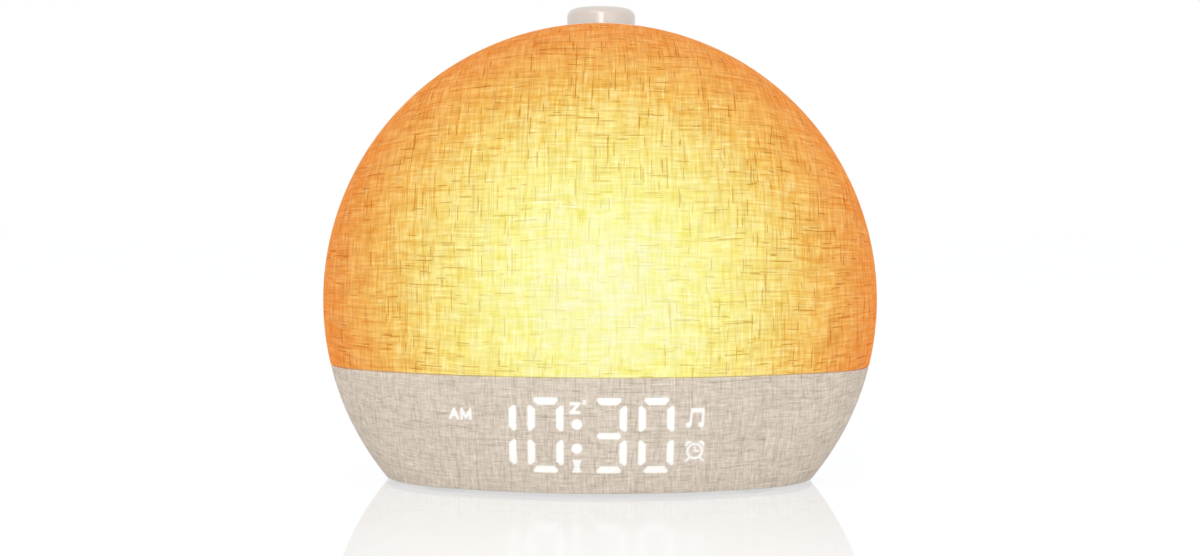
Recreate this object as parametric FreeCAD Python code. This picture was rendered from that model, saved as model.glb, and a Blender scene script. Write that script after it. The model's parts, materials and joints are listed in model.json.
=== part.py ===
"""A bedside sunrise alarm clock: a round lamp body with a flat underside.

The body is a circle seen from the front. A linen-covered front swells forward of the parting
plane: its upper part is a milky lamp dome, its lower part carries the time display. Behind the
parting plane are a straight rim band, with the push-and-turn knob on top, and a crowned back
cover with the speaker grille, six buttons and the power inlet.

Every piece is built about the centre of that circle, in the parting plane, with -Y to the
front and +Z up. The last step moves it so that the origin lies on the table under the middle.
All sizes are in millimetres.
"""
import FreeCAD, Part
import math
import os

from FreeCAD import Vector

# Overall form
body_radius = 90.0
flat_drop = 57.1
front_depth = 48.0
front_shoulder = 30.0
band_depth = 28.0
back_depth = 12.0
back_shoulder = 9.0
seam_drop = 20.5
rim_reveal = 0.4
crown_steps = 4
shoulder_steps = 4

# Walls and fits
fabric_thick = 0.8
dome_wall = 2.0
shell_wall = 2.4
cover_wall = 2.4
chassis_wall = 2.0
tray_wall = 2.2
plate_wall = 2.4
spigot_wall = 1.6
spigot_length = 5.0
fit_gap = 0.15
seam_gap = 0.2
board_thick = 1.6

# Feet and the screws of the underside
foot_radius = 7.0
foot_proud = 1.0
foot_recess = 1.0
foot_inset = 42.0
foot_front_y = -12.0
foot_back_y = 22.0
column_radius = 3.6
column_from_foot = 18.0
column_front_y = -13.0
column_back_y = 12.0
column_back_height = 16.0

# Screws
screw_head_radius = 2.7
screw_head_height = 1.8
screw_shank_radius = 1.4
screw_length = 9.0
small_head_radius = 1.9
small_head_height = 1.2
small_shank_radius = 1.0
small_length = 5.0
pilot_gap = 0.1
recess_gap = 0.5

# Knob and its rotary encoder
knob_radius = 11.3
knob_height = 7.1
knob_round = 3.0
knob_round_steps = 4
knob_wall = 1.8
knob_roof = 2.4
knob_gap = 0.5
knob_lift = 0.9
knob_travel = 0.5
knob_stem_radius = 4.6
knob_stem_gap = 0.4
knob_stem_length = 10.0
pad_sink = 1.8
pad_wall = 2.6
pad_half_x = 17.0
pad_half_y = 12.6
shaft_radius = 3.0
shaft_flat = 1.5
shaft_in_knob = 9.0
bore_gap = 0.02
run_gap = 0.06
encoder_half = 6.2
encoder_height = 5.0
encoder_gap = 1.0
encoder_skin = 1.0
rotor_radius = 4.6
rotor_height = 2.2
rotor_gap = 0.2
press_dome_radius = 2.4
press_dome_height = 0.4
shaft_rest_gap = 0.2
encoder_board_half_x = 16.0
encoder_board_half_y = 7.5
encoder_screw_x = 12.2
encoder_boss_radius = 3.0

# Time display
display_x = -6.6
display_z = -38.4
digit_height = 23.0
digit_width = 10.8
segment_thick = 2.3
segment_break = 0.45
digit_pitch = 14.1
colon_pitch = 19.0
colon_radius = 1.6
colon_rise = 3.7
guide_gap = 0.1
mask_half_x = 41.0
mask_half_z = 14.2
display_board_y = -21.6
display_board_margin = 1.0
post_width = 4.0
post_depth = 4.4
post_lift = 3.0
groove_depth = 1.0
side_sign_x = 35.0
side_sign_half = 3.4
side_sign_z = 5.0
middle_sign_half = 1.9
middle_sign_z = 8.9

# Lamp board
lamp_board_half_x = 48.0
lamp_board_front_y = -29.0
lamp_board_back_y = -9.0
lamp_rows = 2
lamp_columns = 9
lamp_pitch_x = 10.0
lamp_pitch_y = 8.0
lamp_half = 1.4
lamp_height = 0.8

# Main board
main_board_y = 22.0
main_board_half_x = 50.0
main_board_low_z = -50.0
main_board_high_z = -3.0
main_boss_inset_x = 5.0
main_boss_inset_z = 4.0
main_boss_radius = 3.0
controller_x = -4.0
controller_z = -24.0
controller_half = 5.0
sound_chip_x = 16.0
sound_chip_z = -30.0
sound_chip_half_x = 4.0
sound_chip_half_z = 3.0
power_chip_x = 30.0
power_chip_z = -20.0
power_chip_half_x = 3.0
power_chip_half_z = 4.0
chip_height = 1.6
cell_radius = 10.0
cell_thick = 3.2
cell_inset = 24.0
cell_z = -36.0
cell_wall = 1.2

# Back controls
button_count = 6
button_pitch = 15.0
button_radius = 4.4
button_z = -10.5
button_proud = 1.0
button_travel = 0.5
button_gap = 0.2
button_wing = 1.3
button_wing_thick = 1.0
button_stem_half = 1.6
button_edge = 0.4
button_free_play = 0.1
switch_half = 3.0
switch_height = 3.5
switch_stem_radius = 1.75
switch_stem_height = 1.2
switch_play = 0.1
strip_sink = 2.0
strip_half_z = 7.2
strip_end_margin = 8.0

# Power inlet
jack_z = -38.0
jack_half_x = 4.5
jack_half_z = 5.5
jack_nose_radius = 4.6
jack_nose_gap = 0.2
jack_bore_radius = 3.2
jack_bore_depth = 10.0
jack_pin_radius = 1.0
jack_pin_length = 8.5

# Speaker
speaker_z = 34.0
speaker_seat_sink = 6.0
speaker_flange_radius = 29.0
speaker_flange_thick = 1.2
speaker_open_radius = 23.5
speaker_seat_radius = 31.0
speaker_gasket_thick = 1.0
speaker_basket_depth = 11.0
speaker_basket_wall = 0.9
speaker_ledge = 1.0
speaker_neck_radius = 12.5
magnet_radius = 15.0
magnet_thick = 7.0
surround_width = 3.4
surround_steps = 3
cone_depth = 6.0
cone_thick = 0.5
cone_inner_radius = 7.0
dust_cap_height = 2.0
speaker_screw_radius = 26.6
speaker_screw_length = 3.8
speaker_screw_count = 4

# Speaker grille
grille_radius = 27.6
grille_thick = 2.0
grille_sink = 0.3
grille_hole = 1.7
grille_pitch = 4.6
grille_rim = 3.2

# Back cover screws, in the cover's own polar places
cover_screw_radius = 74.0
cover_screw_high_angle = 35.0
cover_screw_low_angle = -28.0
cover_screw_sink = 4.0
cover_boss_radius = 4.4

# Ribbon leads and the sockets that they go into
ribbon_thick = 0.5
ribbon_half_wide = 5.0
ribbon_half_narrow = 1.4
ribbon_slack = 6.0
ribbon_slot_gap = 0.6
socket_depth = 3.0
socket_half_z = 1.6
socket_margin = 1.0
display_ribbon_drop = 2.0
display_socket_z = -38.0
lamp_ribbon_x = 18.0
lamp_socket_z = -14.0
encoder_ribbon_y = 9.0
encoder_socket_z = -8.0
speaker_lead_sink = 5.0
speaker_socket_z = -5.0

FAR = 300.0
centre_z = flat_drop + foot_proud
middle_y = (band_depth + back_depth - front_depth) / 2
front_radius = body_radius - rim_reveal
inner_radius = body_radius - cover_wall
backing = fabric_thick + fit_gap
knob_y = band_depth / 2
foot_x = body_radius - foot_inset
column_x = foot_x - column_from_foot
pad_floor_z = body_radius - pad_sink
pad_under_z = pad_floor_z - pad_wall
knob_bottom_z = pad_floor_z + knob_lift
knob_top_z = knob_bottom_z + knob_height
stem_bottom_z = knob_bottom_z - knob_stem_length
encoder_top_z = stem_bottom_z - encoder_gap
encoder_bottom_z = encoder_top_z - encoder_height
rotor_top_z = encoder_top_z - encoder_skin - rotor_gap
rotor_bottom_z = rotor_top_z - rotor_height
shaft_bottom_z = encoder_bottom_z + press_dome_height + knob_travel + shaft_rest_gap
plate_top_z = plate_wall - flat_drop
tray_top_z = -seam_drop
tray_under_z = tray_top_z - tray_wall
main_board_back_y = main_board_y + board_thick
main_boss_x = main_board_half_x - main_boss_inset_x
main_boss_low_z = main_board_low_z + main_boss_inset_z
main_boss_high_z = main_board_high_z - main_boss_inset_z
cell_x = cell_inset - main_board_half_x
strip_floor_y = band_depth + back_depth - strip_sink
strip_under_y = strip_floor_y - cover_wall
speaker_seat_y = band_depth + back_depth - speaker_seat_sink
speaker_rim_y = speaker_seat_y - speaker_gasket_thick - speaker_flange_thick
speaker_lead_y = speaker_seat_y - speaker_lead_sink
encoder_socket_top_z = encoder_bottom_z - board_thick
display_back_y = display_board_y + board_thick


def box(x0, x1, y0, y1, z0, z1):
    """A block between two corners."""
    return Part.makeBox(x1 - x0, y1 - y0, z1 - z0, Vector(x0, y0, z0))


def between_z(low, high):
    """Everything between two heights."""
    return box(-FAR, FAR, -FAR, FAR, low, high)


def between_y(low, high):
    """Everything between two depths."""
    return box(-FAR, FAR, low, high, -FAR, FAR)


def rod_y(radius, y0, y1, x=0.0, z=0.0):
    """A round bar that runs front to back."""
    return Part.makeCylinder(radius, y1 - y0, Vector(x, y0, z), Vector(0, 1, 0))


def rod_z(radius, z0, z1, x=0.0, y=0.0):
    """An upright round bar."""
    return Part.makeCylinder(radius, z1 - z0, Vector(x, y, z0), Vector(0, 0, 1))


def tube_y(outer, inner, y0, y1, x=0.0, z=0.0):
    """A ring whose axis runs front to back."""
    return rod_y(outer, y0, y1, x, z).cut(rod_y(inner, y0, y1, x, z))


def joined(shapes):
    """Several touching solids as one."""
    shapes = list(shapes)
    whole = shapes[0]
    if len(shapes) > 1:
        whole = whole.fuse(shapes[1:])
    return whole.removeSplitter()


def without(shape, tools):
    """The shape with every tool cut away."""
    return shape.cut(list(tools))


def group(shapes):
    """Separate solids that share one node."""
    return Part.makeCompound(list(shapes))


def outline_face(points):
    """A flat face inside straight edges."""
    return Part.Face(Part.makePolygon(list(points) + [points[0]]))


def crown_of(radius, depth, shoulder):
    """The radius of the ball that meets a shoulder smoothly, and its centre's depth behind y = 0."""
    hub = radius - shoulder
    ball = (hub**2 + depth**2 - shoulder**2) / (2 * (depth - shoulder))
    return ball, ball - depth


def arc_points(middle, radius, start, stop, steps):
    """Points along an arc in a profile, as distance from the axis and distance along it."""
    turns = [start + (stop - start) * i / steps for i in range(steps + 1)]
    return [(middle[0] + radius * math.sin(t), middle[1] + radius * math.cos(t)) for t in turns]


def spun(points, sense):
    """A profile of straight edges turned about Y; its lengths along the axis run this way."""
    face = outline_face([Vector(x, sense * y, 0) for x, y in points])
    return face.revolve(Vector(0, 0, 0), Vector(0, 1, 0), 360)


def stepped_form(radius, depth, shoulder, inset, steps, sense):
    """A half body from y = 0, this far under its surface, with its profile in chords.

    The chords have the same angles at every inset, so two forms make a wall of even thickness.
    """
    ball, ball_y = crown_of(radius, depth, shoulder)
    hub = radius - shoulder
    span = math.atan2(hub, ball_y)
    crown = arc_points((0, -ball_y), ball - inset, 0, span, steps[0])
    edge = arc_points((hub, 0), shoulder - inset, span, math.pi / 2, steps[1])
    return spun([(0, 0)] + crown + edge[1:], sense)


def smooth_form(radius, depth, shoulder, sense):
    """The same half body at its surface, as a true ball inside a true round shoulder."""
    ball, ball_y = crown_of(radius, depth, shoulder)
    hub = radius - shoulder
    span = math.atan2(hub, ball_y)
    meet, middle, rim = arc_points((hub, 0), shoulder, span, math.pi / 2, 2)
    arc = Part.Arc(*[Vector(x, sense * y, 0) for x, y in (meet, middle, rim)]).toShape()
    straight = [rim, (meet[0], 0), meet]
    line = Part.makePolygon([Vector(x, sense * y, 0) for x, y in straight])
    ring = Part.Face(Part.Wire([arc] + line.Edges)).revolve(Vector(0, 0, 0), Vector(0, 1, 0), 360)
    ends = sorted([0, sense * depth * 2])
    core = rod_y(meet[0], ends[0], ends[1])
    core = core.common(Part.makeSphere(ball, Vector(0, -sense * ball_y, 0)))
    return ring.fuse(core)


def front_skin():
    """The front's smooth outer form."""
    return smooth_form(front_radius, front_depth, front_shoulder, -1)


def front_form(inset):
    """The space inside the front, this far under its skin."""
    steps = (crown_steps, shoulder_steps)
    return stepped_form(front_radius, front_depth, front_shoulder, inset, steps, -1)


def cap_skin():
    """The back cover's smooth outer form."""
    cap = smooth_form(body_radius, back_depth, back_shoulder, 1)
    cap.translate(Vector(0, band_depth, 0))
    return cap


def cap_form(inset):
    """The space inside the back cover's crown, this far under it."""
    steps = (1, shoulder_steps)
    cap = stepped_form(body_radius, back_depth, back_shoulder, inset, steps, 1)
    cap.translate(Vector(0, band_depth, 0))
    return cap


def back_form(inset):
    """The space inside the band and the back cover together."""
    return joined([rod_y(body_radius - inset, 0, band_depth), cap_form(inset)])


def screw(head_radius, head_height, shank_radius, length):
    """A pan head screw that stands on its tip, head up, with a cross recess; z = 0 is under the head."""
    head = rod_z(head_radius, 0, head_height)
    shank = rod_z(shank_radius, -length, 0)
    slot = head_radius * 0.62
    blade = shank_radius * 0.28
    depth = head_height * 0.5
    cross = [
        box(-slot, slot, -blade, blade, depth, head_height),
        box(-blade, blade, -slot, slot, depth, head_height),
    ]
    return without(joined([head, shank]), cross)


def placed(shape, place, up):
    """A shape built about +Z, turned so that +Z points along up, and moved."""
    copy = shape.copy()
    copy.Placement = FreeCAD.Placement(place, FreeCAD.Rotation(Vector(0, 0, 1), up))
    return copy


def corners(x, first_y, second_y):
    """Four places, mirrored left and right."""
    return [(side * x, y) for y in (first_y, second_y) for side in (-1, 1)]


def cover_screw_places():
    """Where the four screws go through the back cover, as x and z."""
    places = []
    for angle in (cover_screw_high_angle, cover_screw_low_angle):
        across = cover_screw_radius * math.cos(math.radians(angle))
        up = cover_screw_radius * math.sin(math.radians(angle))
        places += [(-across, up), (across, up)]
    return places


def cover_surface_y(x, z):
    """The depth of the back cover's crown at a place."""
    ball, ball_y = crown_of(body_radius, back_depth, back_shoulder)
    return band_depth - ball_y + math.sqrt(ball**2 - x**2 - z**2)


def grille_face_y():
    """The depth of the flat grille's face, just under the crown at the grille's top."""
    return cover_surface_y(0, speaker_z + grille_radius) - grille_sink


def button_places():
    """The x of each button's axis, left to right as seen from the front."""
    first = -(button_count - 1) / 2 * button_pitch
    return [first + i * button_pitch for i in range(button_count)]


def digit_places():
    """The x of each digit's middle."""
    inner = colon_pitch / 2
    outer = inner + digit_pitch
    return [display_x + offset for offset in (-outer, -inner, inner, outer)]


def dome_fabric():
    """Linen over the lamp dome, down to the seam."""
    skin = front_skin().cut(front_form(fabric_thick))
    return skin.common(between_z(seam_gap / 2 - seam_drop, FAR))


def base_fabric():
    """Linen over the lower front, turned under the shell at the bottom edge."""
    outer = front_skin().common(between_z(-flat_drop, -seam_drop - seam_gap / 2))
    inside = front_form(fabric_thick).common(between_z(fabric_thick - flat_drop, FAR))
    hem_edge = front_form(backing + shell_wall).common(between_z(-FAR, plate_top_z))
    return without(outer, [inside, hem_edge])


def light_dome():
    """The milky diffuser behind the lamp's linen."""
    shell = front_form(backing).cut(front_form(backing + dome_wall))
    return shell.common(between_z(tray_top_z, FAR))


def display_window(grow):
    """The opening for the display mask, from the display board out through the front."""
    return box(
        display_x - mask_half_x - grow,
        display_x + mask_half_x + grow,
        -FAR,
        display_board_y,
        display_z - mask_half_z - grow,
        display_z + mask_half_z + grow,
    )


def base_front_shell():
    """The opaque shell behind the lower linen, with the display's window."""
    shell = front_form(backing).cut(front_form(backing + shell_wall))
    shell = shell.common(between_z(fabric_thick - flat_drop, tray_under_z))
    return shell.cut(display_window(fit_gap))


def spigot(wall, low_z, high_z):
    """The chassis rim that centres one front shell."""
    outer = front_form(backing + wall + fit_gap)
    inner = front_form(backing + wall + fit_gap + spigot_wall)
    ring = outer.cut(inner).common(between_y(-spigot_length, 0))
    return ring.common(between_z(low_z, high_z))


def board_post(side):
    """A hanging post whose groove holds one end of the display board."""
    end_x = display_x + side * (mask_half_x + display_board_margin)
    inner_x = end_x - side * groove_depth
    outer_x = inner_x + side * post_width
    middle = display_board_y + board_thick / 2
    low_z = display_z - mask_half_z + post_lift
    post = box(
        min(inner_x, outer_x),
        max(inner_x, outer_x),
        middle - post_depth / 2,
        middle + post_depth / 2,
        low_z,
        tray_under_z,
    )
    groove = box(
        min(inner_x, end_x + side * fit_gap),
        max(inner_x, end_x + side * fit_gap),
        display_board_y,
        display_board_y + board_thick,
        low_z,
        tray_under_z,
    )
    return post.cut(groove)


def column(x, y, high_z):
    """A column that takes one underside screw."""
    return rod_z(column_radius, plate_top_z, high_z, x, y)


def chassis():
    """The white inner frame: lamp reflector, display tray, rims, columns and bosses."""
    plate = rod_y(inner_radius - fit_gap, 0, chassis_wall).common(between_z(plate_top_z, FAR))
    tray = front_form(backing).common(between_z(tray_under_z, tray_top_z))
    solids = [plate, tray]
    solids.append(spigot(dome_wall, tray_top_z, FAR))
    solids.append(spigot(shell_wall, plate_top_z, tray_under_z))
    solids += [board_post(side) for side in (-1, 1)]
    for side in (-1, 1):
        x = side * column_x
        rib = [x - chassis_wall / 2, x + chassis_wall / 2]
        high = plate_top_z + column_back_height
        solids.append(column(x, column_front_y, tray_under_z))
        solids.append(column(x, column_back_y, high))
        solids.append(box(rib[0], rib[1], 0, column_back_y, plate_top_z, high))
    for x, z in corners(main_boss_x, main_boss_low_z, main_boss_high_z):
        solids.append(rod_y(main_boss_radius, 0, main_board_y, x, z))
    for x, z in cover_screw_places():
        solids.append(rod_y(column_radius, 0, band_depth, x, z))
    pilots = []
    pilot = screw_shank_radius + pilot_gap
    for x, y in corners(column_x, column_front_y, column_back_y):
        pilots.append(rod_z(pilot, plate_top_z, plate_top_z + screw_length, x, y))
    for x, z in cover_screw_places():
        pilots.append(rod_y(pilot, band_depth - screw_length, band_depth, x, z))
    for x, z in corners(main_boss_x, main_boss_low_z, main_boss_high_z):
        small = small_shank_radius + pilot_gap
        pilots.append(rod_y(small, main_board_y - small_length, main_board_y, x, z))
    notch = pad_notch(chassis_wall / 2, chassis_wall)
    return without(joined(solids), pilots + ribbon_slots() + [notch])


def rim_band():
    """The straight band behind the linen, with the knob's pad inside its top."""
    band = tube_y(body_radius, inner_radius, 0, band_depth).common(between_z(-flat_drop, FAR))
    low_y = chassis_wall / 2 + fit_gap
    pad = box(-pad_half_x, pad_half_x, low_y, knob_y + pad_half_y, pad_under_z, FAR)
    pad = pad.common(rod_y(body_radius, 0, band_depth))
    bosses = [
        rod_z(encoder_boss_radius, encoder_bottom_z, pad_floor_z, side * encoder_screw_x, knob_y)
        for side in (-1, 1)
    ]
    pocket = rod_z(knob_radius + knob_gap, pad_floor_z, FAR, 0, knob_y)
    stem_hole = rod_z(knob_stem_radius + knob_stem_gap, 0, FAR, 0, knob_y)
    pilots = [
        rod_z(
            small_shank_radius + pilot_gap,
            encoder_bottom_z,
            encoder_bottom_z + small_length,
            side * encoder_screw_x,
            knob_y,
        )
        for side in (-1, 1)
    ]
    return without(joined([band, pad] + bosses), [pocket, stem_hole] + pilots)


def back_cover():
    """The crowned back: speaker opening, button strip, inlet hole and screw bosses."""
    outer = cap_skin()
    shell = outer.cut(cap_form(cover_wall))
    lip = tube_y(
        inner_radius - fit_gap,
        inner_radius - fit_gap - spigot_wall,
        band_depth - spigot_length,
        band_depth + cover_wall,
    )
    seat = rod_y(speaker_seat_radius, speaker_seat_y, FAR, 0, speaker_z).common(outer)
    row_half = button_places()[-1] + strip_end_margin
    pad_grow = cover_wall
    pad = strip_block(row_half + pad_grow, strip_half_z + pad_grow, strip_under_y, FAR)
    inlet_pad = box(
        -jack_half_x - cover_wall,
        jack_half_x + cover_wall,
        strip_under_y,
        FAR,
        jack_z - jack_half_z - cover_wall,
        jack_z + jack_half_z + cover_wall,
    )
    bosses = [rod_y(cover_boss_radius, band_depth, FAR, x, z) for x, z in cover_screw_places()]
    thick = [shell, lip, seat] + [piece.common(outer) for piece in [pad, inlet_pad] + bosses]
    cover = joined(thick)
    cuts = [between_z(-FAR, -flat_drop)]
    cuts.append(back_form(cover_wall).common(between_z(-FAR, plate_top_z)))
    cuts.append(pad_notch(band_depth - spigot_length, band_depth))
    cuts.append(rod_y(speaker_open_radius, 0, FAR, 0, speaker_z))
    cuts.append(rod_y(grille_radius + fit_gap, grille_face_y() - grille_thick, FAR, 0, speaker_z))
    cuts.append(strip_block(row_half, strip_half_z, strip_floor_y, FAR))
    cuts += [rod_y(button_radius + button_gap, 0, FAR, x, button_z) for x in button_places()]
    cuts.append(rod_y(jack_nose_radius + jack_nose_gap, 0, FAR, 0, jack_z))
    for x, z in cover_screw_places():
        seat_y = cover_surface_y(x, z) - cover_screw_sink
        cuts.append(rod_y(screw_head_radius + recess_gap, seat_y, FAR, x, z))
        cuts.append(rod_y(screw_shank_radius + pilot_gap, 0, FAR, x, z))
    for x, z in speaker_screw_places():
        hole = small_shank_radius + pilot_gap
        tip_y = speaker_rim_y + speaker_screw_length
        cuts.append(rod_y(hole, speaker_seat_y, tip_y + pilot_gap, x, z))
    return without(cover, cuts)


def pad_notch(y0, y1):
    """The room that other pieces leave for the knob's pad."""
    half = pad_half_x + fit_gap
    return box(-half, half, y0, y1, pad_under_z - fit_gap, FAR)


def strip_block(half_x, half_z, y0, y1):
    """A round-ended block along the button row."""
    straight = half_x - half_z
    ends = [rod_y(half_z, y0, y1, side * straight, button_z) for side in (-1, 1)]
    middle = box(-straight, straight, y0, y1, button_z - half_z, button_z + half_z)
    return joined([middle] + ends)


def bottom_plate():
    """The flat plate that closes the underside, with pockets for the feet and screws."""
    front = front_form(backing + shell_wall + fit_gap)
    outline = joined([front, back_form(cover_wall + fit_gap)])
    plate = outline.common(between_z(-flat_drop, plate_top_z))
    cuts = []
    for x, y in corners(foot_x, foot_front_y, foot_back_y):
        cuts.append(rod_z(foot_radius + fit_gap, -FAR, foot_recess - flat_drop, x, y))
    for x, y in corners(column_x, column_front_y, column_back_y):
        head_top = screw_head_height - flat_drop
        cuts.append(rod_z(screw_head_radius + recess_gap, -FAR, head_top, x, y))
        cuts.append(rod_z(screw_shank_radius + pilot_gap, -FAR, FAR, x, y))
    return without(plate, cuts)


def rubber_feet():
    """Four soft discs in the plate's pockets."""
    top = foot_recess - flat_drop
    feet = []
    for x, y in corners(foot_x, foot_front_y, foot_back_y):
        foot = rod_z(foot_radius, -flat_drop - foot_proud, top, x, y)
        rim = [edge for edge in foot.Edges if edge.BoundBox.ZMax < -flat_drop - foot_proud / 2]
        feet.append(foot.makeChamfer(foot_proud / 3, rim))
    return group(feet)


def underside_screws():
    """Four screws up through the bottom plate."""
    one = screw(screw_head_radius, screw_head_height, screw_shank_radius, screw_length)
    places = corners(column_x, column_front_y, column_back_y)
    return group(
        placed(one, Vector(x, y, screw_head_height - flat_drop), Vector(0, 0, -1))
        for x, y in places
    )


def cover_screws():
    """Four screws sunk in the back cover."""
    one = screw(screw_head_radius, screw_head_height, screw_shank_radius, screw_length)
    return group(
        placed(one, Vector(x, cover_surface_y(x, z) - cover_screw_sink, z), Vector(0, 1, 0))
        for x, z in cover_screw_places()
    )


def knob_cap():
    """The push-and-turn knob: a round-edged cap on a long stem with a flatted bore."""
    middle = (knob_radius - knob_round, knob_top_z - knob_round)
    points = arc_points(middle, knob_round, 0, math.pi / 2, knob_round_steps)
    points += [(knob_radius, knob_bottom_z), (0, knob_bottom_z), (0, knob_top_z)]
    face = outline_face([Vector(x, 0, z) for x, z in points])
    cap = face.revolve(Vector(0, 0, 0), Vector(0, 0, 1), 360)
    roof_z = knob_top_z - knob_roof
    hollow = rod_z(knob_radius - knob_wall, knob_bottom_z, roof_z)
    stem = rod_z(knob_stem_radius, stem_bottom_z, roof_z)
    bore = flatted_rod(shaft_radius + bore_gap, stem_bottom_z, stem_bottom_z + shaft_in_knob)
    knob = joined([cap.cut(hollow), stem]).cut(bore)
    knob.translate(Vector(0, knob_y, 0))
    return knob


def flatted_rod(radius, z0, z1):
    """An upright rod with one flat, about the Z axis; its flat keeps the same clearance as its wall."""
    flat_y = shaft_radius - shaft_flat + (radius - shaft_radius)
    return rod_z(radius, z0, z1).cut(box(-FAR, FAR, flat_y, FAR, z0, z1))


def encoder_shaft():
    """The encoder's flatted shaft, pressed into the knob."""
    shaft = flatted_rod(shaft_radius, shaft_bottom_z, stem_bottom_z + shaft_in_knob)
    shaft.translate(Vector(0, knob_y, 0))
    return shaft


def encoder_rotor():
    """The contact disc that the shaft turns and slides through."""
    disc = rod_z(rotor_radius, rotor_bottom_z, rotor_top_z)
    rotor = disc.cut(flatted_rod(shaft_radius + run_gap, rotor_bottom_z, rotor_top_z))
    rotor.translate(Vector(0, knob_y, 0))
    return rotor


def encoder_housing():
    """The encoder's body, with the rotor's chamber and the hole for the shaft."""
    body = box(
        -encoder_half,
        encoder_half,
        knob_y - encoder_half,
        knob_y + encoder_half,
        encoder_bottom_z,
        encoder_top_z,
    )
    upright = [edge for edge in body.Edges if edge.Length > encoder_height - fit_gap]
    upright = [edge for edge in upright if edge.BoundBox.ZLength > encoder_height / 2]
    body = body.makeFillet(1.0, upright)
    chamber = rod_z(
        rotor_radius + rotor_gap,
        rotor_bottom_z - rotor_gap,
        rotor_top_z + rotor_gap,
        0,
        knob_y,
    )
    shaft_hole = rod_z(shaft_radius + run_gap, encoder_bottom_z, encoder_top_z, 0, knob_y)
    return without(body, [chamber, shaft_hole])


def press_dome():
    """The snap dome under the shaft that clicks when the knob is pushed."""
    foot = Vector(0, knob_y, encoder_bottom_z)
    return Part.makeCone(press_dome_radius, press_dome_radius / 2, press_dome_height, foot)


def encoder_board():
    """The small board under the knob."""
    board = box(
        -encoder_board_half_x,
        encoder_board_half_x,
        knob_y - encoder_board_half_y,
        knob_y + encoder_board_half_y,
        encoder_bottom_z - board_thick,
        encoder_bottom_z,
    )
    holes = [
        rod_z(small_shank_radius + pilot_gap, -FAR, FAR, side * encoder_screw_x, knob_y)
        for side in (-1, 1)
    ]
    return without(board, holes)


def encoder_screws():
    """Two small screws up into the knob pad's bosses."""
    one = screw(small_head_radius, small_head_height, small_shank_radius, small_length)
    under = encoder_bottom_z - board_thick
    return group(
        placed(one, Vector(side * encoder_screw_x, knob_y, under), Vector(0, 0, -1))
        for side in (-1, 1)
    )


def bar(x, z, length, upright, grow):
    """One pointed display segment, run from the board out past the front."""
    half = segment_thick / 2 + grow
    reach = length / 2 - segment_break + grow
    outline = [
        (-reach, 0),
        (half - reach, half),
        (reach - half, half),
        (reach, 0),
        (reach - half, -half),
        (half - reach, -half),
    ]
    if upright:
        outline = [(b, a) for a, b in outline]
    face = outline_face([Vector(x + a, display_board_y, z + b) for a, b in outline])
    return face.extrude(Vector(0, -front_depth, 0))


def digit_bars(x, grow):
    """The seven segments of one digit."""
    across = (digit_width - segment_thick) / 2
    up = (digit_height - segment_thick) / 2
    bars = [bar(x, display_z + row * up, 2 * across, False, grow) for row in (-1, 0, 1)]
    for side in (-1, 1):
        for row in (-1, 1):
            bars.append(bar(x + side * across, display_z + row * up / 2, up, True, grow))
    return bars


def sign_windows(grow):
    """Plain light windows for the signs beside and between the digits."""
    windows = []
    for side in (-1, 1):
        for row in (-1, 1):
            size = side_sign_half + grow
            place = (display_x + side * side_sign_x, display_z + row * side_sign_z)
            windows.append((place, size, min(size, side_sign_z - fit_gap)))
    for row in (-1, 1):
        size = middle_sign_half + grow
        windows.append(((display_x, display_z + row * middle_sign_z), size, size))
    return [
        box(x - half_x, x + half_x, -front_depth, display_board_y, z - half_z, z + half_z)
        for (x, z), half_x, half_z in windows
    ]


def light_ways(grow):
    """Every lit shape of the display, as bars that run front to back."""
    ways = []
    for x in digit_places():
        ways += digit_bars(x, grow)
    for row in (-1, 1):
        dot_z = display_z + row * colon_rise
        ways.append(rod_y(colon_radius + grow, -front_depth, display_board_y, display_x, dot_z))
    return ways + sign_windows(grow)


def segment_guides():
    """Clear light guides whose faces follow the curved front just under the linen."""
    front = front_form(backing)
    return group(way.common(front) for way in light_ways(0))


def display_mask():
    """The dark block that keeps each segment's light apart, curved to the front."""
    block = display_window(0).common(front_form(backing))
    return without(block, light_ways(guide_gap))


def display_board():
    """The upright board behind the mask."""
    half_x = mask_half_x + display_board_margin
    return box(
        display_x - half_x,
        display_x + half_x,
        display_board_y,
        display_board_y + board_thick,
        display_z - mask_half_z,
        tray_under_z - fit_gap,
    )


def lamp_board():
    """The lamp's board, flat on the tray."""
    return box(
        -lamp_board_half_x,
        lamp_board_half_x,
        lamp_board_front_y,
        lamp_board_back_y,
        tray_top_z,
        tray_top_z + board_thick,
    )


def lamp_leds():
    """The rows of light-emitting diodes on the lamp board."""
    middle = (lamp_board_front_y + lamp_board_back_y) / 2
    low = tray_top_z + board_thick
    leds = []
    for row in range(lamp_rows):
        y = middle + (row - (lamp_rows - 1) / 2) * lamp_pitch_y
        for step in range(lamp_columns):
            x = (step - (lamp_columns - 1) / 2) * lamp_pitch_x
            leds.append(
                box(x - lamp_half, x + lamp_half, y - lamp_half, y + lamp_half, low, low + lamp_height)
            )
    return group(leds)


def main_board():
    """The upright main board behind the chassis."""
    board = box(
        -main_board_half_x,
        main_board_half_x,
        main_board_y,
        main_board_back_y,
        main_board_low_z,
        main_board_high_z,
    )
    holes = [
        rod_y(small_shank_radius + pilot_gap, 0, FAR, x, z)
        for x, z in corners(main_boss_x, main_boss_low_z, main_boss_high_z)
    ]
    return without(board, holes)


def main_board_screws():
    """Four small screws that hold the main board to the chassis."""
    one = screw(small_head_radius, small_head_height, small_shank_radius, small_length)
    return group(
        placed(one, Vector(x, main_board_back_y, z), Vector(0, 1, 0))
        for x, z in corners(main_boss_x, main_boss_low_z, main_boss_high_z)
    )


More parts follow.
